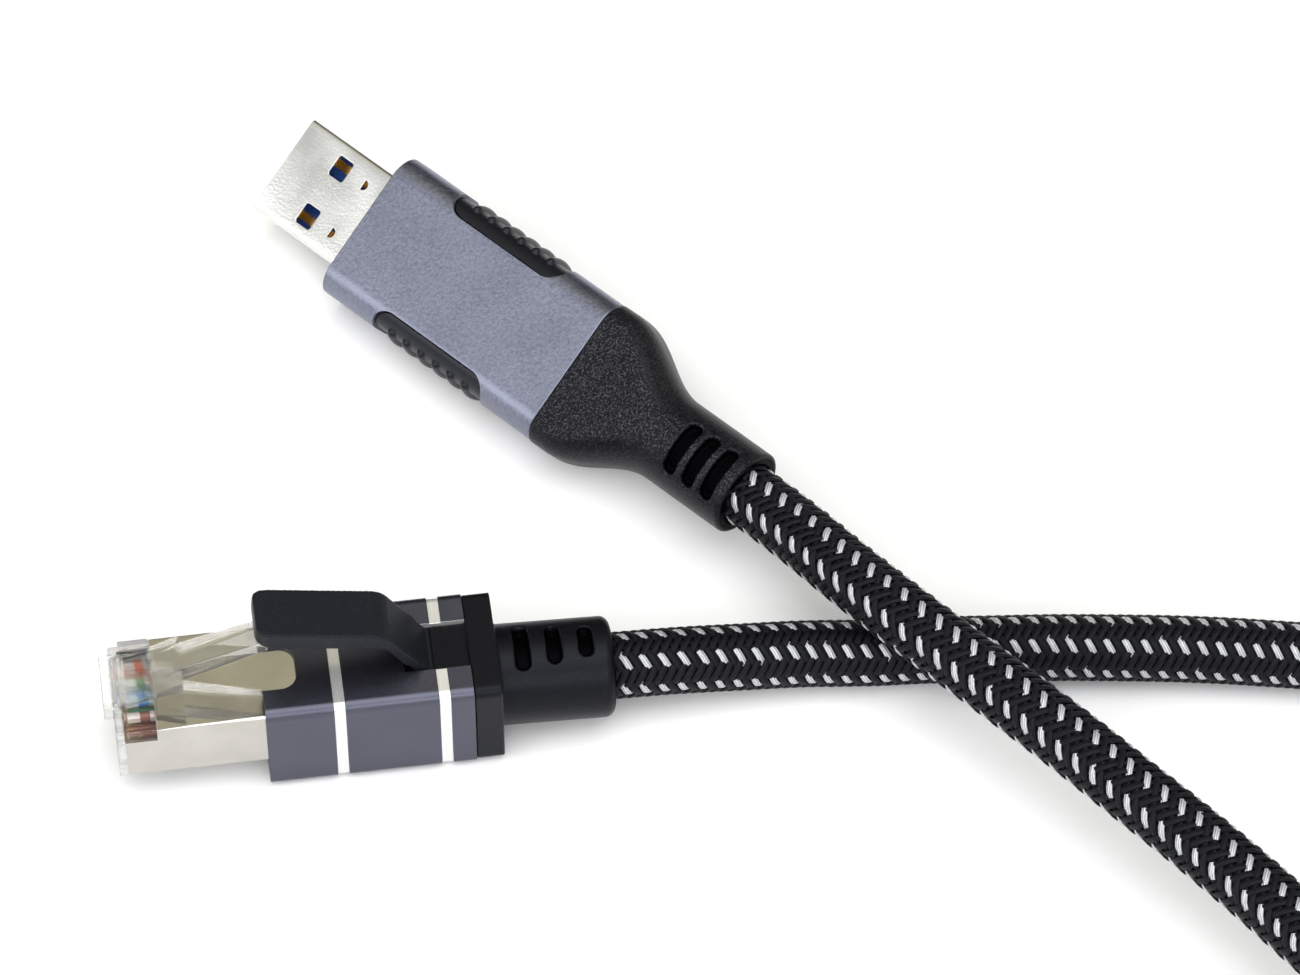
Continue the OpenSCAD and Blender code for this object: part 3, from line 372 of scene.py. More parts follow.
laid = add_node(braid, "GeometryNodeSetCurveNormal", {0: laid.outputs[0], "Normal": outward.outputs[0]},
                mode="FREE")
for label, value in (("run", along), ("lift", weave)):
    laid = add_node(braid, "GeometryNodeStoreNamedAttribute",
                    {"Geometry": laid.outputs[0], "Name": label, "Value": value.outputs[0]},
                    data_type="FLOAT", domain="POINT")
ring = add_node(braid, "GeometryNodeCurvePrimitiveCircle", {"Resolution": size["Yarn Sides"], "Radius": 0.5})
ring_at = add_node(braid, "GeometryNodeInputPosition")
ring_at = add_node(braid, "ShaderNodeSeparateXYZ", {0: ring_at.outputs[0]})
ring = add_node(braid, "GeometryNodeStoreNamedAttribute",
                {"Geometry": ring.outputs[0], "Name": "across", "Value": ring_at.outputs["Y"]},
                data_type="FLOAT", domain="POINT")
flat = add_node(braid, "ShaderNodeCombineXYZ",
                {"X": size["Yarn Thickness"], "Y": size["Yarn Width"], "Z": 1.0})
ring = add_node(braid, "GeometryNodeTransform", {"Geometry": ring.outputs[0], "Scale": flat.outputs[0]})
breadth = add_node(braid, "ShaderNodeMath", {0: bright.outputs[0], 1: silver_spread, 2: spread},
                   operation="MULTIPLY_ADD")
laid = add_node(braid, "GeometryNodeSetCurveRadius",
                {"Curve": laid.outputs[0], "Radius": breadth.outputs[0]})
swept = add_node(braid, "GeometryNodeCurveToMesh",
                 {"Curve": laid.outputs[0], "Profile Curve": ring.outputs[0], "Fill Caps": True})
run_at = add_node(braid, "GeometryNodeInputNamedAttribute", {"Name": "run"}, data_type="FLOAT")
run_at = add_node(braid, "ShaderNodeMath", {0: run_at.outputs[0], 1: 1/mm}, operation="MULTIPLY")
across_at = add_node(braid, "GeometryNodeInputNamedAttribute", {"Name": "across"}, data_type="FLOAT")
map_at = add_node(braid, "ShaderNodeCombineXYZ", {"X": run_at.outputs[0], "Y": across_at.outputs[0]})
mapped = add_node(braid, "GeometryNodeStoreNamedAttribute",
                  {"Geometry": swept.outputs[0], "Name": "UVMap", "Value": map_at.outputs[0]},
                  data_type="FLOAT2", domain="CORNER")
black = add_node(braid, "GeometryNodeSetMaterial", {"Geometry": mapped.outputs[0], "Material": yarn_black_and_painted_shade})
# A silver yarn has the black material where it runs under the others: painted shade, for there it lies in
# their shade, and so no glint of it comes through the gaps between them
shade_from = -0.7
lift_at = add_node(braid, "GeometryNodeInputNamedAttribute", {"Name": "lift"}, data_type="FLOAT")
on_top = add_node(braid, "ShaderNodeMath", {0: lift_at.outputs[0], 1: shade_from}, operation="GREATER_THAN")
silver_clear_of_painted_shade = add_node(braid, "ShaderNodeMath", {0: on_top.outputs[0], 1: bright.outputs[0]},
                 operation="MULTIPLY")
silver = add_node(braid, "GeometryNodeSetMaterial",
                  {"Geometry": black.outputs[0], "Selection": silver_clear_of_painted_shade.outputs[0], "Material": yarn_silver})
whole = add_node(braid, "GeometryNodeRealizeInstances", {0: silver.outputs[0]})
smooth = add_node(braid, "GeometryNodeSetShadeSmooth", {0: whole.outputs[0]})
add_node(braid, "NodeGroupOutput", {0: smooth.outputs[0]})


def settle(piece):
    """The piece's modifiers made real"""
    depsgraph = bpy.context.evaluated_depsgraph_get()
    mesh = bpy.data.meshes.new_from_object(piece.evaluated_get(depsgraph), depsgraph=depsgraph)
    piece.modifiers.clear()
    piece.data = mesh


def grow(name, tree, source, sizes):
    """What a tree makes of a mesh: its inputs are set before it is first evaluated"""
    piece = add_piece(name, source, [])
    modifier = piece.modifiers.new("grow", "NODES")
    modifier.node_group = tree
    for item in tree.interface.items_tree:
        if item.item_type == "SOCKET" and item.in_out == "INPUT" and item.name in sizes:
            modifier[item.identifier] = sizes[item.name]
    settle(piece)
    piece.data.name = name
    return piece


line_mesh = bpy.data.meshes.new("cable_line")
line_mesh.from_pydata(cable_line, [(i, i + 1) for i in range(len(cable_line) - 1)], [])
coil_from, coil_to = line_station(coil_first), line_station(coil_last)
# The braid begins and ends out of sight, inside the two plugs
braid_from = line_station((4, 0, boot_z))
braid_to = line_station(host_place @ Vector((sleeve_end + 6, 0, 0)))
coil_third = (coil_to - coil_from)/3
# The braid lies tighter at the network plug. The host run's pitch is the one nearest to 14.3 mm at
# which whole yarns still meet where the pitch changes
net_pitch, near_pitch = 12.0*mm, 14.3*mm
yarn_steps = crossings*coil_to
host_pitch = 1/(1/net_pitch - round((1/net_pitch - 1/near_pitch)*yarn_steps)/yarn_steps)
net_phase, host_phase = math.radians(-14.5), math.radians(20.5)
coil_twist = (host_phase - net_phase)/(coil_to - coil_from)
# The coil's yarns have fewer points and sides, because there are many more of their turns
near_points, near_sides, coil_points, coil_sides = 42, 6, 20, 4
stretches = [("braid_net_run", braid_from, coil_from, near_points, near_sides, net_pitch, net_phase, 0)]
stretches += [("braid_coil_%d" % (i + 1), coil_from + i*coil_third, coil_from + (i + 1)*coil_third,
               coil_points, coil_sides, net_pitch, net_phase - coil_twist*coil_from, coil_twist)
              for i in range(3)]
stretches += [("braid_host_run", coil_to, braid_to, near_points, near_sides, host_pitch, host_phase, 0)]
braids = []
for name, start, end, points_per_turn, sides, pitch, phase, twist in stretches:
    braids.append(grow(name, braid, line_mesh, {
        "From": start, "To": end, "Outer Radius": cable_r*mm, "Pitch": pitch, "Carriers": carriers,
        "Points": 1 + round(points_per_turn*(end - start)/pitch), "Yarn Width": 0.8*mm, "Phase": phase,
        "Twist": twist, "Yarn Thickness": 0.27*mm, "Yarn Sides": sides, "Weave Height": 0.1*mm}))
for piece in [cable_core] + braids:
    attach(piece, main_body)
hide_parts("cable_net_run", "cable_coil", "cable_host_run", "net_cable_end", "host_cable_end")

# ---- Host plug: wires, crimp ring and circuit board ----
# Eight insulated copper conductors are soldered to both faces of a small glass-epoxy board. A steel
# ring behind them is crimped over the shield braid and takes the cable's pull. The board carries
# the controller, its crystal, a transformer and two rows of ceramic capacitors.
def finish_node(name, material):
    for slot in nodes[name].material_slots:
        slot.material = material


def insulation(name, solid, stripe, stripe_from, stripe_to):
    """A coloured wire skin, striped every 2.4 mm on the wire of the pair that lies between two places"""
    material, tree = new_material(name)
    place = add_node(tree, "ShaderNodeTexCoord").outputs["Object"]
    axes = add_node(tree, "ShaderNodeSeparateXYZ", {0: place})
    turns = add_node(tree, "ShaderNodeMath", {0: axes.outputs["X"], 1: 1/(2.4*mm)}, operation="MULTIPLY")
    turns = add_node(tree, "ShaderNodeMath", {0: turns.outputs[0]}, operation="FRACT")
    band = add_node(tree, "ShaderNodeMath", {0: turns.outputs[0], 1: 0.45}, operation="GREATER_THAN")
    above = add_node(tree, "ShaderNodeMath", {0: axes.outputs["Y"], 1: stripe_from*mm},
                     operation="GREATER_THAN")
    below = add_node(tree, "ShaderNodeMath", {0: axes.outputs["Y"], 1: stripe_to*mm}, operation="LESS_THAN")
    share = add_node(tree, "ShaderNodeMath", {0: above.outputs[0], 1: below.outputs[0]},
                     operation="MULTIPLY")
    share = add_node(tree, "ShaderNodeMath", {0: share.outputs[0], 1: band.outputs[0]},
                     operation="MULTIPLY")
    tint = add_node(tree, "ShaderNodeMix",
                    {"Factor": share.outputs[0], "A": colour(solid), "B": colour(stripe)}, data_type="RGBA")
    surface(tree, {"Base Color": tint.outputs["Result"], "Roughness": 0.35, "Subsurface Weight": 0.1,
                   "Subsurface Scale": 0.3*mm})
    return material


# Polyethylene insulation: waxy and a little see-through, in colour
finish_node("host_end_wires", insulation("extruded_polyethylene_white", "#dcdde0", "#e0793f", -200, 200))

# Crimped steel: satin, with the fine marks of the crimping tool
crimped_steel = grained("crimped_steel", "#8f9296", "#c9cbce", 0.5, 0.03,
                        {"Metallic": 1.0, "Roughness": 0.32})
finish_node("host_crimp_ring", crimped_steel)

# Solder resist over copper: glossy green with the tracks standing through it
resist, tree = new_material("solder_resist_green")
place = add_node(tree, "ShaderNodeTexCoord").outputs["Object"]
flat_place = add_node(tree, "ShaderNodeVectorRotate", {"Vector": place, "Angle": math.radians(-host_turn)},
                      rotation_type="Z_AXIS")
tracks = add_node(tree, "ShaderNodeTexBrick", {"Vector": flat_place.outputs[0], "Color1": colour("#1c6a3d"),
                  "Color2": colour("#26804b"), "Mortar": colour("#124a2a"), "Scale": 1/(1.6*mm)})
surface(tree, {"Base Color": tracks.outputs[0], "Roughness": 0.25})
finish_node("host_circuit_board", resist)

# Moulded epoxy: matt black with a fine sparkle of filler
finish_node("controller_chip", grained("moulded_epoxy_black", "#131416", "#202124", 0.12, 0.01,
                                       {"Roughness": 0.55}))
# Varnished ferrite: a browner, glossier black
finish_node("network_transformer", grained("varnished_ferrite", "#1b1a1b", "#2b2927", 0.3, 0.02,
                                           {"Roughness": 0.38}))
# Seam-welded nickel can: satin silver
finish_node("clock_crystal", grained("welded_nickel_can", "#a9acb0", "#c6c8ca", 0.4, 0.01,
                                     {"Metallic": 1.0, "Roughness": 0.25}))
# Fired ceramic: chalky tan
finish_node("board_capacitors", grained("fired_ceramic_tan", "#a1855c", "#bfa37a", 0.15, 0.01,
                                        {"Roughness": 0.6}))

# ---- Host plug: tongue, contacts and shell ----
# A blue polyester tongue carries four flat contacts, and five sprung ones rise behind them. Round it
# goes a shell folded from thin steel and plated with nickel. Each broad face has two windows and two
# half-round holes. The shell's tail is held in the mould inside the sleeve.

# Glass-filled polyester: blue, satin, a little mottled by the glass. Its blue is darkened with painted shade,
# for the tongue lies deep in the shell
finish_node("host_tongue", grained("moulded_polyester_blue_darkened_by_painted_shade", "#0c2c66", "#1a4690", 0.35, 0.02,
                                   {"Roughness": 0.36}))
# Flash gold over nickel: warm, bright and smooth
plated_gold = grained("flash_gold_on_nickel", "#c9983f", "#e7c37a", 0.6, 0.005,
                      {"Metallic": 1.0, "Roughness": 0.24})
finish_node("host_power_contacts", plated_gold)
finish_node("host_fast_contacts", plated_gold)
# Moulded nylon: black and half matt
finish_node("host_contact_carrier", grained("moulded_nylon_black", "#17191e", "#262930", 0.25, 0.02,
                                            {"Roughness": 0.5}))

weld, flat_angle, sharp_angle = 0.002*mm, math.radians(0.1), math.radians(35)


def merged_copy(node):
    """The node's loose triangles, joined at their corners"""
    work = bmesh.new()
    work.from_mesh(nodes[node].data)
    bmesh.ops.remove_doubles(work, verts=work.verts, dist=weld)
    return work


def made_mesh(name, work):
    mesh = bpy.data.meshes.new(name)
    work.to_mesh(mesh)
    work.free()
    return mesh


def edged(name, node, materials, width, choose=None, segments=3, paint=None):
    """The node's shape with its flat faces whole and its edges broken by a small round"""
    work = merged_copy(node)
    bmesh.ops.dissolve_limit(work, angle_limit=flat_angle, verts=work.verts, edges=work.edges)
    weight = work.edges.layers.float.new("bevel_weight_edge")
    for edge in work.edges:
        sharp = len(edge.link_faces) == 2 and edge.calc_face_angle(0) > sharp_angle
        edge[weight] = float(sharp and (choose is None or choose(edge)))
        edge.smooth = not sharp
    for face in work.faces:
        face.smooth = True
        face.material_index = paint(face) if paint else 0
    piece = add_piece(name, made_mesh(name, work), materials)
    bevel = piece.modifiers.new("broken_edges", "BEVEL")
    bevel.width = width*mm
    bevel.segments = segments
    bevel.limit_method = "WEIGHT"
    bevel.use_clamp_overlap = False
    bevel.harden_normals = True
    return piece


def section_normals(piece, place, half_w, half_h, corner):
    """Exact normals on a bar of rounded-rectangle section, so that its bends shade evenly. Only faces that
    lie on the section and look outwards get them"""
    off_section, outwards = 0.2, 0.985
    settle(piece)
    mesh = piece.data
    back, turn = place.inverted(), place.to_3x3()

    def outward(point):
        at = back @ (point/mm)
        y = math.copysign(max(abs(at.y) - half_w + corner, 0), at.y)
        z = math.copysign(max(abs(at.z) - half_h + corner, 0), at.z)
        return (turn @ Vector((0, y, z))).normalized(), math.hypot(y, z)

    normals = [Vector(corner_normal.vector) for corner_normal in mesh.corner_normals]
    for face in mesh.polygons:
        way, reach = outward(face.center)
        if abs(reach - corner) < off_section and way.dot(face.normal) > outwards:
            for loop in face.loop_indices:
                normals[loop] = outward(mesh.vertices[mesh.loops[loop].vertex_index].co)[0]
    mesh.normals_split_custom_set(normals)


def hand_over(piece, node, body):
    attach(piece, body)
    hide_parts(node)


# Bright nickel over rolled steel: warm silver, evenly and finely pebbled
nickel, tree = new_material("bright_nickel_on_rolled_steel")
place = add_node(tree, "ShaderNodeTexCoord").outputs["Object"]
pebble = add_node(tree, "ShaderNodeTexNoise", {"Vector": place, "Scale": 1/(0.32*mm), "Detail": 2.0})
cloud = add_node(tree, "ShaderNodeTexNoise", {"Vector": place, "Scale": 1/(4*mm), "Detail": 1.0})
gloss = add_node(tree, "ShaderNodeMapRange", {"Value": cloud.outputs[0], "From Min": 0.3, "From Max": 0.7,
                                              "To Min": 0.2, "To Max": 0.27})
dent = add_node(tree, "ShaderNodeBump", {"Height": pebble.outputs[0], "Strength": 0.4, "Distance": 0.03*mm})
surface(tree, {"Base Color": ramp(tree, cloud.outputs[0], "#dbdbd7", "#e6e6e3", 0.3, 0.7), "Metallic": 1.0,
               "Roughness": gloss.outputs[0], "Normal": dent.outputs[0]})
host_shell = edged("host_plug_shell", "host_shell", [nickel], 0.07)
hand_over(host_shell, "host_shell", main_body)

# ---- Host plug: inner mould and sleeve ----
# A hard polymer is moulded round the shell's tail, the board and the cable's end. An extruded
# aluminium sleeve with a window milled in each side is slid over it. The sleeve is blasted with
# glass beads and anodised blue-grey, and the edges at both its ends are broken.

# Moulded polypropylene: hidden, dark and plain
moulded_core = grained("moulded_polypropylene_black", "#1c1d20", "#2b2c30", 0.5, 0.03, {"Roughness": 0.5})
finish_node("host_inner_mould", moulded_core)


def anodised(name, dark, light, pit, depth):
    gloss = 0.36
    material, tree = new_material(name)
    place = add_node(tree, "ShaderNodeTexCoord").outputs["Object"]
    pits = add_node(tree, "ShaderNodeTexNoise", {"Vector": place, "Scale": 1/(pit*mm), "Detail": 2.0,
                                                 "Roughness": 0.65})
    cloud = add_node(tree, "ShaderNodeTexNoise", {"Vector": place, "Scale": 1/(6*mm), "Detail": 1.0})
    both = add_node(tree, "ShaderNodeMath", {0: cloud.outputs[0], 1: 0.35, 2: pits.outputs[0]},
                    operation="MULTIPLY_ADD")
    shine = add_node(tree, "ShaderNodeMapRange",
                     {"Value": pits.outputs[0], "From Min": 0.3, "From Max": 0.7,
                      "To Min": gloss - 0.05, "To Max": gloss + 0.07})
    dent = add_node(tree, "ShaderNodeBump",
                    {"Height": pits.outputs[0], "Strength": 0.5, "Distance": depth*mm})
    surface(tree, {"Base Color": ramp(tree, both.outputs[0], dark, light, 0.45, 0.9), "Metallic": 1.0,
                   "Roughness": shine.outputs[0], "Normal": dent.outputs[0]})
    return material


# Bead-blasted, anodised aluminium: a soft metallic glow. Its pits are drawn 0.36 mm across, coarser
# than real ones, so that they show
sleeve_anodised = anodised("bead_blasted_anodised_aluminium_blue_grey", "#6f7281", "#858898", 0.36, 0.06)


end_reach = 0.02


def on_sleeve_end(edge):
    """Whether an edge lies in the plane of one of the sleeve's ends"""
    along = [(host_place.inverted() @ (v.co/mm)).x for v in edge.verts]
    return any(all(abs(x - end) < end_reach for x in along) for end in (shell_out, sleeve_end))


host_sleeve = edged("host_plug_sleeve", "host_sleeve", [sleeve_anodised], 0.16, choose=on_sleeve_end)
section_normals(host_sleeve, host_place, sleeve_w/2, sleeve_t/2, sleeve_r)
hand_over(host_sleeve, "host_sleeve", main_body)

# ---- Host plug: side grips ----
# Thermoplastic rubber is injected through the sleeve's side windows, so each grip is a sunk pad with
# six upright ribs. Every rib runs into the pad with a small fillet.
def overmould(name, dark, light, spark, depth, gloss, broad=None, slots=None, shine=0.17):
    """Moulded skin: broad is the way that its coarse faces look, where the light specks of the grain are
    painted glints, and slots are the axis, the start and the radius of a slotted bar, whose slot floors get
    painted shade"""
    material, tree = new_material(name)
    coordinates = add_node(tree, "ShaderNodeTexCoord")
    place = coordinates.outputs["Object"]
    pits = add_node(tree, "ShaderNodeTexNoise", {"Vector": place, "Scale": 1/(spark*mm), "Detail": 2.0,
                                                 "Roughness": 0.7})
    grain = pits.outputs[0]
    # Painted glints: on the broad faces the grain keeps its full contrast, so that its light specks stand in
    # for glints; on the other faces it is faint
    if broad:
        facing = add_node(tree, "ShaderNodeVectorMath", {0: coordinates.outputs["Normal"], 1: broad},
                          operation="DOT_PRODUCT")
        facing = add_node(tree, "ShaderNodeMath", {0: facing.outputs["Value"]}, operation="ABSOLUTE")
        coarse = add_node(tree, "ShaderNodeMapRange", {"Value": facing.outputs[0], "From Min": 0.86,
                                                       "From Max": 0.97, "To Min": 0.25})
        even = add_node(tree, "ShaderNodeMath", {0: pits.outputs[0], 1: 0.5}, operation="SUBTRACT")
        grain = add_node(tree, "ShaderNodeMath", {0: even.outputs[0], 1: coarse.outputs[0], 2: 0.5},
                         operation="MULTIPLY_ADD").outputs[0]
    tint = ramp(tree, grain, dark, light, 0.48, 0.7)
    if slots:
        axis, start, radius = slots
        offset = add_node(tree, "ShaderNodeVectorMath", {0: place, 1: start}, operation="SUBTRACT")
        across = add_node(tree, "ShaderNodeVectorMath", {0: offset.outputs[0], 1: axis},
                          operation="CROSS_PRODUCT")
        reach = add_node(tree, "ShaderNodeVectorMath", {0: across.outputs[0]}, operation="LENGTH")
        along = add_node(tree, "ShaderNodeVectorMath", {0: offset.outputs[0], 1: axis},
                         operation="DOT_PRODUCT")
        # Painted shade: below the bar's surface the slot floors are mixed to near black and their specular
        # level is cut, for the shade inside the slots
        sunk = add_node(tree, "ShaderNodeMapRange", {
            "Value": reach.outputs["Value"], "From Min": radius - 0.12*mm, "From Max": radius - 0.5*mm})
        slot_shade_beyond_start = add_node(tree, "ShaderNodeMath", {0: along.outputs["Value"], 1: 0.0},
                          operation="GREATER_THAN")
        share = add_node(tree, "ShaderNodeMath", {0: sunk.outputs[0], 1: slot_shade_beyond_start.outputs[0]},
                         operation="MULTIPLY")
        tint = add_node(tree, "ShaderNodeMix",
                        {"Factor": share.outputs[0], "A": tint, "B": colour("#020203")},
                        data_type="RGBA").outputs["Result"]
        shine = add_node(tree, "ShaderNodeMapRange",
                         {"Value": share.outputs[0], "To Min": shine, "To Max": 0.02}).outputs[0]
    rough = add_node(tree, "ShaderNodeMapRange",
                     {"Value": grain, "To Min": gloss + 0.12, "To Max": gloss - 0.12})
    dent = add_node(tree, "ShaderNodeBump", {"Height": grain, "Strength": 0.6, "Distance": depth*mm})
    surface(tree, {"Base Color": tint, "Roughness": rough.outputs[0], "Specular IOR Level": shine,
                   "Specular Tint": colour("#e8ebfb"), "Normal": dent.outputs[0]})
    return material


def softened(name, mesh, materials, voxel, passes, cutters=None):
    """A moulded skin: the shape remeshed finely, then relaxed so that every edge turns round"""
    piece = add_piece(name, mesh, materials)
    tool = None
    if cutters:
        tool = bpy.data.objects.new(name + "_cutter", cutters)
        bpy.context.scene.collection.objects.link(tool)
        cut = piece.modifiers.new("slots", "BOOLEAN")
        cut.operation = "DIFFERENCE"
        cut.solver = "EXACT"
        cut.object = tool
    skin = piece.modifiers.new("skin", "REMESH")
    skin.mode = "VOXEL"
    skin.voxel_size = voxel*mm
    skin.use_smooth_shade = True
    relax = piece.modifiers.new("relax", "SMOOTH")
    relax.factor = 0.5
    relax.iterations = passes
    settle(piece)
    if tool:
        bpy.data.objects.remove(tool)
    return piece


def node_copy(node):
    return made_mesh(node + "_copy", merged_copy(node))


# Moulded thermoplastic rubber: warm black, satin, with the fine grain of a spark-eroded mould
grip_rubber = overmould("moulded_rubber_satin_black", "#0b0c0f", "#17181d", 0.16, 0.012, 0.34, shine=0.35)
for side in ("near", "far"):
    grip = softened("host_side_grip_" + side, node_copy("host_grip_" + side), [grip_rubber], 0.11, 1)
    hand_over(grip, "host_grip_" + side, main_body)

# ---- Host plug: overmoulded tail ----
# Black thermoplastic is moulded over the sleeve's rear and the cable. It narrows in an S-curve to a
# round strain relief with three slots above and three below, so the relief can bend with the cable.
corner_points = 12


def tail_ring(x, half_w, half_h, corner):
    ring = []
    for quarter in range(4):
        way_y = 1 if quarter in (0, 3) else -1
        way_z = 1 if quarter < 2 else -1
        for i in range(corner_points + 1):
            angle = math.radians(90*quarter + 90*i/corner_points)
            ring.append((x, way_y*(half_w - corner) + corner*math.cos(angle),
                         way_z*(half_h - corner) + corner*math.sin(angle)))
    return ring


def ease(t):
    return (1 - math.cos(math.pi*min(max(t, 0), 1)))/2


def mix(a, b, t):
    return a + (b - a)*t


def round_ring(x, radius):
    return tail_ring(x, radius, radius, radius)


relief_r, rim_r, bore_r, bore_mid = relief_d/2, 0.3, cable_r + 0.1, tail_end - 8
lip_w, lip_h, straight_share = 0.1, 0.05, 0.15
tail_steps, relief_steps, rim_steps = 34, 10, 6
rings = []
for i in range(tail_steps):
    t = i/tail_steps
    narrowing = ease((t - straight_share)/(1 - straight_share))
    rings.append(tail_ring(sleeve_end + tail_l*t, mix(sleeve_w/2 + lip_w, relief_r, narrowing),
                           mix(sleeve_t/2 + lip_h, relief_r, ease(t)), mix(sleeve_r, relief_r, ease(t))))
for i in range(relief_steps + 1):
    rings.append(round_ring(mix(sleeve_end + tail_l, tail_end - rim_r, i/relief_steps), relief_r))
for i in range(1, rim_steps + 1):
    turn = math.radians(90*i/rim_steps)
    rings.append(round_ring(tail_end - rim_r + rim_r*math.sin(turn), relief_r - rim_r + rim_r*math.cos(turn)))
rings += [round_ring(x, bore_r) for x in (tail_end, bore_mid, sleeve_end)]


def ring_mesh(name, rings, place):
    """A closed skin through the rings, the last of which joins the first"""
    work = bmesh.new()
    made = [[work.verts.new((place @ Vector(p))*mm) for p in ring] for ring in rings]
    for here, there in zip(made, made[1:] + made[:1]):
        for k in range(len(here)):
            after = (k + 1) % len(here)
            work.faces.new((here[k], there[k], there[after], here[after]))
    bmesh.ops.remove_doubles(work, verts=work.verts, dist=0.0005*mm)
    bmesh.ops.recalc_face_normals(work, faces=work.faces)
    return made_mesh(name, work)


def slot_cutters(name, cuts, radius, depth, place):
    """Slots that follow a round bar: a cut is its middle, its width, its length round the bar and the
    side that it faces"""
    work = bmesh.new()
    steps, least_half, above = 20, 0.02, 1
    for middle, width, length, facing in cuts:
        sections = []
        for i in range(steps + 1):
            arc = math.sin(math.pi*(i/steps - 0.5))*length/2
            past = max(abs(arc) - (length - width)/2, 0)
            half = max(math.sqrt(max((width/2)**2 - past**2, 0)), least_half)
            angle = facing + arc/radius
            corners = [(middle + way*half, r*math.sin(angle), r*math.cos(angle))
                       for way, r in ((-1, radius - depth), (1, radius - depth),
                                      (1, radius + above), (-1, radius + above))]
            sections.append([work.verts.new((place @ Vector(corner))*mm) for corner in corners])
        for here, there in zip(sections, sections[1:]):
            for k in range(4):
                work.faces.new((here[k], there[k], there[(k + 1) % 4], here[(k + 1) % 4]))
        work.faces.new(sections[0])
        work.faces.new(sections[-1][::-1])
    bmesh.ops.recalc_face_normals(work, faces=work.faces)
    return made_mesh(name, work)


relief_slots, relief_end, relief_pitch = 3, 2.3, 2.6
relief_slot_w, relief_slot_l, relief_slot_depth = 1.7, 7.0, 1.0
relief_cuts = [(tail_end - relief_end - relief_pitch*i, relief_slot_w, relief_slot_l, facing)
               for i in range(relief_slots) for facing in (0, math.pi)]
# Spark-eroded moulding: near black, with a coarse grain on its broad faces whose light specks are painted
# glints; its slot floors get painted shade
host_axis, host_up = (host_place.to_3x3() @ Vector(way) for way in ((1, 0, 0), (0, 0, 1)))
relief_start = (host_place @ Vector((sleeve_end + tail_l + 1, 0, 0)))*mm
tail_rubber = overmould("moulded_thermoplastic_black_painted_glints_and_slot_shade", "#040406", "#4c4d52", 0.22, 0.2, 0.36,
                        broad=host_up, slots=(host_axis, relief_start, relief_r*mm))
host_tail = softened(
    "host_plug_tail", ring_mesh("host_plug_tail", rings, host_place), [tail_rubber], 0.16, 3,
    slot_cutters("host_relief_slots", relief_cuts, relief_r, relief_slot_depth, host_place))
hand_over(host_tail, "host_tail", main_body)

# ---- Network plug: wires, guide and contacts ----
# The four pairs are untwisted, combed into two rows by a clear guide and pushed up to the nose.
# Eight gold-plated bronze blades are pressed through the body into the wires.
finish_node("pair_orange", insulation("extruded_polyethylene_orange", "#ee6420", "#f3e4da", 3.1, 9))
finish_node("pair_green", insulation("extruded_polyethylene_green", "#0f9a5c", "#dcefe4", 1, 9))
finish_node("pair_blue", insulation("extruded_polyethylene_blue", "#2f8fe0", "#d3e6f6", -2, 0))
finish_node("pair_brown", insulation("extruded_polyethylene_brown", "#8f4634", "#efe0da", -3, 0))
finish_node("net_contacts", plated_gold)


def clear_moulding(name, tint, body):
    """Body is the alpha: the least is the most see-through"""
    wave = 1.6
    material, tree = new_material(name)
    place = add_node(tree, "ShaderNodeTexCoord").outputs["Object"]
    flow = add_node(tree, "ShaderNodeTexNoise", {"Vector": place, "Scale": 1/(wave*mm), "Detail": 1.0})
    dent = add_node(tree, "ShaderNodeBump",
                    {"Height": flow.outputs[0], "Strength": 0.3, "Distance": 0.06*mm})
    surface(tree, {"Base Color": ramp(tree, flow.outputs[0], tint, "#ffffff", 0.2, 0.6), "Roughness": 0.04,
                   "IOR": 1.3, "Transmission Weight": 0.97, "Alpha": body, "Normal": dent.outputs[0]})
    return material


# Moulded polycarbonate: water-clear, wavy where it flowed, and bright along its edges
polycarbonate = clear_moulding("moulded_polycarbonate_clear", "#f0f3f4", 0.62)
finish_node("net_wire_guide", clear_moulding("moulded_polycarbonate_inner", "#f6f8f9", 0.22))

# ---- Network plug: body and latch ----
# The plug body is one clear polycarbonate moulding to the eight-contact standard, with a slot for
# each blade. The springy latch grows from its nose and rises over the back.
net_body = edged("network_plug_body", "net_body", [polycarbonate], 0.09, segments=2)
hand_over(net_body, "net_body", main_body)
net_latch = edged("network_plug_latch", "net_latch", [polycarbonate], 0.16)
hand_over(net_latch, "net_latch", "latch")

# ---- Network plug: shield and crimp ring ----
# The shield is folded from nickel-plated brass sheet and pressed over the body. It is open in front
# for the wires and the blades. A steel ring clamps the cable's shield braid behind it.
body_w, body_h, body_z = 11.68, 8.1, 3.7
reading_error = 0.01


def on_fold(edge):
    """Whether an edge lies along one of the body's four long corners"""
    places = [v.co/mm for v in edge.verts]
    return all(abs(abs(p.y) - body_w/2) < reading_error for p in places) and all(
        min(abs(p.z - body_z), abs(p.z - body_z - body_h)) < reading_error for p in places)


# Bright nickel on brass: a clear mirror with a warm cast and a trace of handling
mirror_nickel = grained("bright_nickel_on_brass_sheet", "#b7b4ad", "#c2bfb8", 4, 0.002,
                        {"Metallic": 1.0, "Roughness": 0.07})
net_shield = edged("network_plug_shield", "net_shield", [mirror_nickel], 0.3, choose=on_fold, segments=5)
hand_over(net_shield, "net_shield", main_body)
finish_node("net_crimp_ring", crimped_steel)

# ---- Network plug: inner mould and housing ----
# A hard mould locks the plug, the wires and the crimp ring into a square aluminium housing. The
# housing is blasted, anodised dark grey and then cut bright in two shallow bands.
finish_node("net_inner_mould", moulded_core)
net_x, housing_h, housing_half_w, housing_r = -11.0, 13.1, 6.74, 1.15
bands, band_w, band_reach = [net_x + 7.2, net_x + 18.3], 1.2, 0.5


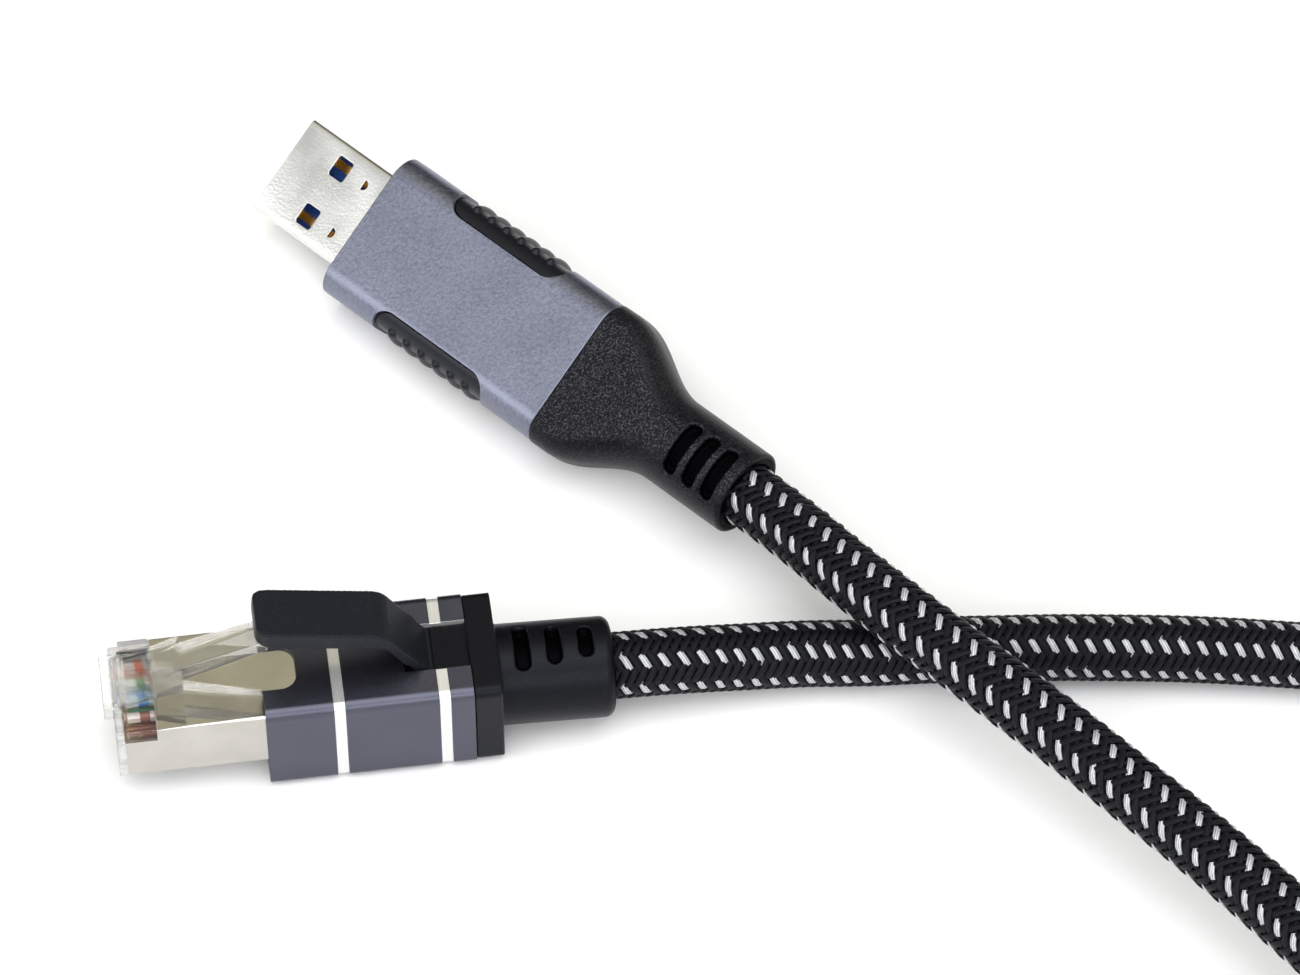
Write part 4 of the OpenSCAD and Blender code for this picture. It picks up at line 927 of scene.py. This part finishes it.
def in_band(face):
    """1, the bright metal, for a face in a band and near the outside, and otherwise 0"""
    middle = face.calc_center_median()/mm
    inside = any(start - reading_error < middle.x < start + band_w + reading_error for start in bands)
    depth = min(housing_half_w - abs(middle.y), housing_h - middle.z, middle.z)
    return int(inside and depth < band_reach)


housing_anodised = anodised("bead_blasted_anodised_aluminium_dark_grey", "#50515d", "#5b5c68", 0.14, 0.012)
# Diamond-cut aluminium: nearly a mirror, with fine tool lines that follow the plug's girth
turned, tree = new_material("diamond_turned_aluminium")
place = add_node(tree, "ShaderNodeTexCoord").outputs["Object"]
lines = add_node(tree, "ShaderNodeVectorMath", {0: place, 1: (1.0, 0.05, 0.05)}, operation="MULTIPLY")
tool = add_node(tree, "ShaderNodeTexNoise", {"Vector": lines.outputs[0], "Scale": 1/(0.12*mm), "Detail": 2.0})
gloss = add_node(tree, "ShaderNodeMapRange", {"Value": tool.outputs[0], "To Min": 0.1, "To Max": 0.3})
dent = add_node(tree, "ShaderNodeBump", {"Height": tool.outputs[0], "Strength": 0.3, "Distance": 0.02*mm})
surface(tree, {"Base Color": ramp(tree, tool.outputs[0], "#dcdcda", "#ececea", 0.3, 0.7), "Metallic": 0.6,
               "Roughness": gloss.outputs[0], "Normal": dent.outputs[0]})
net_housing = edged("network_plug_housing", "net_housing", [housing_anodised, turned], 0.05, segments=2,
                    paint=in_band)
section_normals(net_housing, Matrix.Translation((0, 0, housing_h/2)), housing_half_w, housing_h/2, housing_r)
hand_over(net_housing, "net_housing", main_body)

# ---- Network plug: boot and lever ----
# One shot of black thermoplastic forms the square collar and the slotted strain relief. The thumb
# lever stands on a thin neck in the housing's slot and presses the latch down.
boot_r, boot_slots, boot_first, boot_pitch = 5.4, 3, 2.4, 3.4
boot_slot_w, boot_slot_l, boot_slot_shrink, boot_slot_depth = 1.6, 5.8, 1, 1.1
# Moulded thermoplastic, satin black; its slot floors get painted shade, mixed to near black inside the slots
boot_rubber = overmould("moulded_thermoplastic_satin_black_painted_slot_shade", "#090a0d", "#131419", 0.22, 0.015, 0.38,
                        slots=(boot_axis, (boot_root + 0.5*boot_axis)*mm, boot_r*mm))
lever_rubber = overmould("moulded_thermoplastic_lever_black", "#15171c", "#1f2127", 0.22, 0.01, 0.4)
boot_place = Matrix.Translation(boot_root) @ Matrix.Rotation(boot_sag, 4, "Y")
boot_cuts = [(boot_first + boot_pitch*i, boot_slot_w, boot_slot_l - boot_slot_shrink*i, 0)
             for i in range(boot_slots)]
net_boot = softened(
    "network_plug_boot", node_copy("net_boot"), [boot_rubber], 0.15, 3,
    slot_cutters("network_boot_slots", boot_cuts, boot_r, boot_slot_depth, boot_place))
hand_over(net_boot, "net_boot", main_body)
net_lever = softened("network_plug_lever", node_copy("net_lever"), [lever_rubber], 0.12, 8)
hand_over(net_lever, "net_lever", "lever")

# ---- Coil tie ----
# A strip of woven nylon hook-and-loop tape goes once round the coil's turns and holds the length
# of cable that isn't in use.
def woven(name, dark, light, thread):
    material, tree = new_material(name)
    place = add_node(tree, "ShaderNodeTexCoord").outputs["Object"]
    turned_place = add_node(tree, "ShaderNodeVectorRotate",
                            {"Vector": place, "Angle": math.radians(-tie_angle)}, rotation_type="Z_AXIS")
    axes = add_node(tree, "ShaderNodeSeparateXYZ", {0: turned_place.outputs[0]})
    ridges = []
    for axis in ("X", "Y", "Z"):
        wave = add_node(tree, "ShaderNodeMath", {0: axes.outputs[axis], 1: math.tau/(thread*mm)},
                        operation="MULTIPLY")
        ridges.append(add_node(tree, "ShaderNodeMath", {0: wave.outputs[0]}, operation="SINE").outputs[0])
    warp = add_node(tree, "ShaderNodeMath", {0: ridges[0], 1: ridges[2]})
    weft = add_node(tree, "ShaderNodeMath", {0: ridges[1], 1: warp.outputs[0]})
    level = add_node(tree, "ShaderNodeMapRange",
                     {"Value": weft.outputs[0], "From Min": -2.0, "From Max": 2.0})
    dent = add_node(tree, "ShaderNodeBump",
                    {"Height": level.outputs[0], "Strength": 0.7, "Distance": 0.08*mm})
    surface(tree, {"Base Color": ramp(tree, level.outputs[0], dark, light), "Roughness": 0.8,
                   "Sheen Weight": 0.3, "Normal": dent.outputs[0]})
    return material


# Woven nylon: matt black with threads 0.5 mm apart and a faint sheen
tie_cloth = woven("woven_nylon_tape_black", "#141416", "#34353a", 0.5)
coil_tie = edged("coil_tie_tape", "coil_tie", [tie_cloth], 0.2)
hand_over(coil_tie, "coil_tie", main_body)
